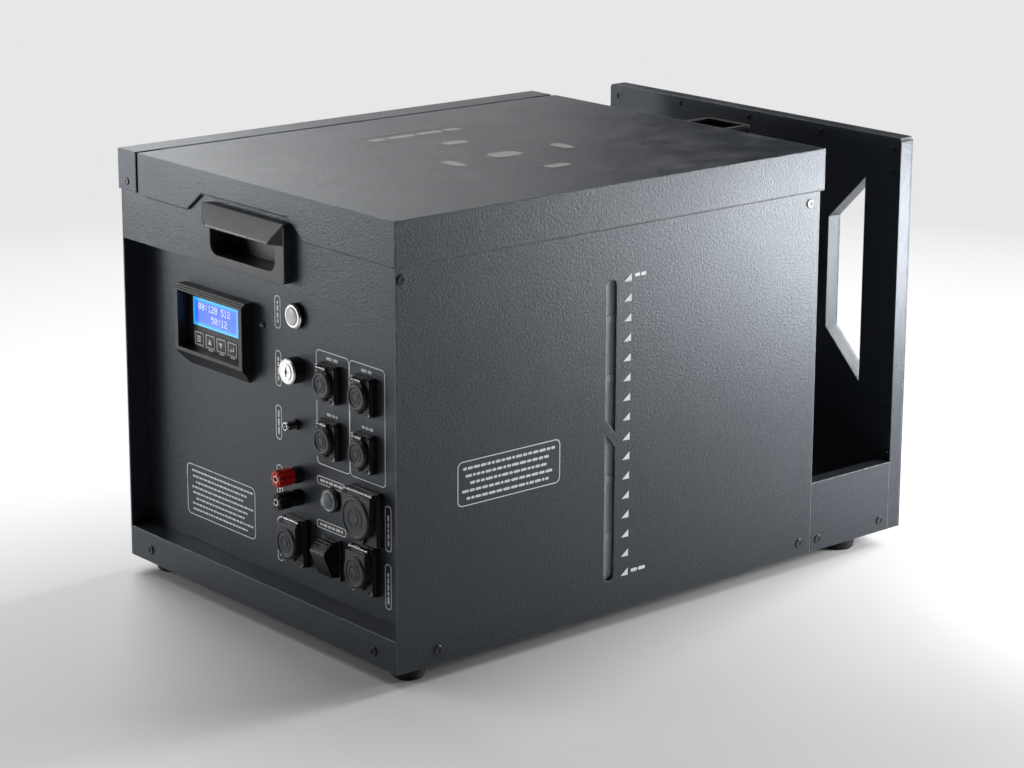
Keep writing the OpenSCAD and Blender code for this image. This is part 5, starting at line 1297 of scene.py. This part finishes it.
class OBJECT_OT_flame_head_trim(FlameStep):
    """Adds the welds and rivets of the nozzle hood, the nozzle's thread and the electrodes' glaze rings"""

    bl_idname = "object.flame_head_trim"
    bl_label = "Swing head trim"

    def make(self, look, size):
        mid, low, high = 499.5, 170.0, 343.0
        t = np.linspace(0, 1, 60)
        welds = []
        for sx, sy in ((1, 1), (-1, 1), (1, -1), (-1, -1)):
            path = np.column_stack([0 * t + 25.4 * sx, 0 * t + mid + 25.4 * sy, low + 4 + t * 60])
            welds.append(tube(path, 1.0 + 0.25 * np.sin(t * 150), 8))
        rivets = [along((27 * s, mid + y, z), (s, 0, 0), button(2.0, -0.05, 1.0, 12))
                  for s in (-1, 1) for y in (-20, 20) for z in (186, 214, 330)]
        rivets += [along((x, mid + 27 * s, z), (0, s, 0), button(2.0, -0.05, 1.0, 12))
                   for s in (-1, 1) for x in (-20, 20) for z in (186, 222, 330)]
        lip = moved(hoop(round_box(54.8, 54.8, 6.4, 6), round_box(52, 52, 5, 6), high - 4.5, high - 1.5), (0, mid, 0))
        piece("hood_seams", join(*welds, *rivets, lip), standing(0, 0, 0), FINISH["hood_steel"], "swing_head")
        # Burner grid below the mouth: crossed wires in a square frame
        wires = [tube([(x, mid - 24.6, 322), (x, mid + 24.6, 322)], 0.7, 6) for x in (-16, 16)]
        wires += [tube([(-24.6, mid + y, 323.2), (24.6, mid + y, 323.2)], 0.7, 6) for y in (-16, 16)]
        thread = [(8.6, 9.0)]
        for k in range(12):
            thread += [(9.0, 9.2 + 1.3 * k), (9.6, 9.8 + 1.3 * k)]
        thread += [(9.0, 24.8), (8.6, 24.8)]
        piece("nozzle_thread", moved(lathe(thread, 40, True), (0, mid, 216)), standing(0, 0, 0), FINISH["valve_brass"],
              "swing_head")
        piece("mouth_wires", join(*wires), standing(0, 0, 0), FINISH["shaft_steel"], "swing_head")
        rings = [moved(lathe([(3.2, z - 1), (4.1, z), (3.2, z + 1), (2.6, z)], 28, True), (17 * s, mid, 216))
                 for s in (-1, 1) for z in (6, 11, 16, 21)]
        piece("insulator_rings", join(*rings), standing(0, 0, 0), FINISH["ceramic"], "swing_head")
        nipples = [along((0, y, 213.6), (0, 0, 1), lathe([(0, 0), (2.4, 0), (2.4, 2.4), (1.4, 3.4), (1.6, 5), (0, 5.6)], 12))
                   for y in (440, 540)]
        piece("grease_nipples", join(*nipples), standing(0, 0, 0), FINISH["valve_brass"], "chassis")


# Stage


class OBJECT_OT_flame_stage(FlameStep):
    """Sets the floor, the backdrop light, the lamps and the camera"""

    bl_idname = "object.flame_stage"
    bl_label = "Stage"

    LAMPS = [
        # name, place, aimed at, width, height, power
        ("front_softbox", (-1.1, -1.3, 0.35), (0.0, -0.2, 0.2), 0.5, 0.5, 3.8),
        ("band_spot", (-0.9, -0.8, 0.32), (-0.1, -0.28, 0.33), 0.25, 0.25, 2.8),
        ("top_softbox", (-2.0, 0.4, 1.8), (0.0, 0.0, 0.3), 1.2, 1.2, 50.0),
        ("lid_strip", (-2.4, 1.6, 0.75), (0.0, 0.0, 0.3), 1.0, 0.5, 1.9),
        ("edge_spot", (-1.6, -0.6, 1.55), (0.0, -0.29, 0.36), 0.3, 0.3, 2.5),
        ("side_spot", (0.5, 0.6, 0.2), (0.18, 0.2, 0.22), 0.2, 0.2, 4.7),
        ("rear_softbox", (0.2, 2.8, 1.3), (0.0, 0.0, 0.2), 1.4, 1.0, 125.0),
        ("fill_softbox", (-0.6, -1.2, 2.4), (0.0, 0.0, 0.2), 1.2, 1.2, 9.0),
    ]

    def make(self, look, size):
        side = 30.0
        mesh = bpy.data.meshes.new("floor")
        mesh.from_pydata([(-side, -side, 0), (side, -side, 0), (side, side, 0), (-side, side, 0)], [], [(0, 1, 2, 3)])
        floor = bpy.data.objects.new("floor", mesh)
        bpy.context.scene.collection.objects.link(floor)
        made, tree, shader = new_finish("pale_floor")
        cloud = noise(tree, object_place(tree), 1.3, 3.0)
        tone = blend_colours(tree, cloud, (0.7, 0.7, 0.705), (0.74, 0.74, 0.745))
        wire_up(tree, shader, {"Base Color": tone, "Roughness": 0.75})
        # Away from the part, the camera sees the floor in its plain colour
        far = remap(tree, put(tree, "ShaderNodeVectorMath", {0: object_place(tree)}, operation="LENGTH").outputs["Value"], 0.45, 1.5)
        path = put(tree, "ShaderNodeLightPath")
        plain = put(tree, "ShaderNodeEmission", {"Color": (0.8, 0.8, 0.805, 1)})
        share = maths(tree, "MULTIPLY", far, path.outputs["Is Camera Ray"])
        faded = put(tree, "ShaderNodeMixShader", {0: share, 1: shader.outputs[0], 2: plain.outputs[0]})
        put(tree, "ShaderNodeOutputMaterial", {"Surface": faded.outputs[0]}).is_active_output = True
        mesh.materials.append(made)
        for name, place, aim, w, h, power in self.LAMPS:
            light = bpy.data.lights.new(name, "AREA")
            light.shape, light.size, light.size_y, light.energy = "RECTANGLE", w, h, power
            lamp = bpy.data.objects.new(name, light)
            lamp.location = place
            lamp.rotation_euler = (Vector(aim) - Vector(place)).to_track_quat("-Z", "Y").to_euler()
            bpy.context.scene.collection.objects.link(lamp)
        world = bpy.data.worlds.new("studio_air")
        bpy.context.scene.world = world
        world.use_nodes = True
        tree = world.node_tree
        tree.nodes.clear()
        lit = put(tree, "ShaderNodeBackground", {"Color": (0.93, 0.95, 1.0, 1), "Strength": 0.02})
        seen = put(tree, "ShaderNodeBackground", {"Color": (0.8, 0.8, 0.805, 1), "Strength": 1.0})
        path = put(tree, "ShaderNodeLightPath")
        mixed = put(tree, "ShaderNodeMixShader", {0: path.outputs["Is Camera Ray"], 1: lit.outputs[0], 2: seen.outputs[0]})
        put(tree, "ShaderNodeOutputWorld", {"Surface": mixed.outputs[0]})
        self.camera()
        scene = bpy.context.scene
        scene.view_settings.view_transform = "Standard"

    def camera(self):
        """Camera solved from the corners of the case in the photograph."""
        azimuth, elevation, roll = (math.radians(a) for a in (49.319, 13.469, 0.301))
        back = Vector((math.sin(azimuth) * math.cos(elevation), -math.cos(azimuth) * math.cos(elevation),
                       math.sin(elevation)))
        level = Vector((math.cos(azimuth), math.sin(azimuth), 0))
        above = back.cross(level)
        right = math.cos(roll) * level + math.sin(roll) * above
        up = -math.sin(roll) * level + math.cos(roll) * above
        lens = bpy.data.cameras.new("camera")
        lens.lens, lens.sensor_width = 98.24, 36.0
        lens.shift_x, lens.shift_y = -0.0159, -0.0977
        view = bpy.data.objects.new("camera", lens)
        view.matrix_world = Matrix((
            (right.x, up.x, back.x, 1.7630),
            (right.y, up.y, back.y, -1.5028),
            (right.z, up.z, back.z, 0.7981),
            (0, 0, 0, 1),
        ))
        bpy.context.scene.collection.objects.link(view)
        bpy.context.scene.camera = view


STEPS = (
    OBJECT_OT_flame_finishes,
    OBJECT_OT_flame_panel_print,
    OBJECT_OT_flame_side_print,
    OBJECT_OT_flame_lid_print,
    OBJECT_OT_flame_display,
    OBJECT_OT_flame_panel_trim,
    OBJECT_OT_flame_case_trim,
    OBJECT_OT_flame_wiring,
    OBJECT_OT_flame_electrics,
    OBJECT_OT_flame_fuel_trim,
    OBJECT_OT_flame_drive_trim,
    OBJECT_OT_flame_head_trim,
    OBJECT_OT_flame_stage,
)


class VIEW3D_PT_flame_machine(bpy.types.Panel):
    """Lists the sizes, the colours and the steps"""

    bl_label = "Flame machine"
    bl_space_type = "VIEW_3D"
    bl_region_type = "UI"
    bl_category = "Flame machine"

    def draw(self, context):
        column = self.layout.column()
        for group in (context.scene.flame_finishes, context.scene.flame_sizes):
            for name in group.__annotations__:
                column.prop(group, name)
        for step in STEPS:
            column.operator(step.bl_idname)


CLASSES = (FlameFinishes, FlameSizes, *STEPS, VIEW3D_PT_flame_machine)


def register():
    for each in CLASSES:
        bpy.utils.register_class(each)
    bpy.types.Scene.flame_finishes = PointerProperty(type=FlameFinishes)
    bpy.types.Scene.flame_sizes = PointerProperty(type=FlameSizes)


def unregister():
    del bpy.types.Scene.flame_finishes
    del bpy.types.Scene.flame_sizes
    for each in reversed(CLASSES):
        bpy.utils.unregister_class(each)


def main():
    register()
    for step in STEPS:
        group, name = step.bl_idname.split(".")
        getattr(getattr(bpy.ops, group), name)()


if __name__ == "__main__":
    main()
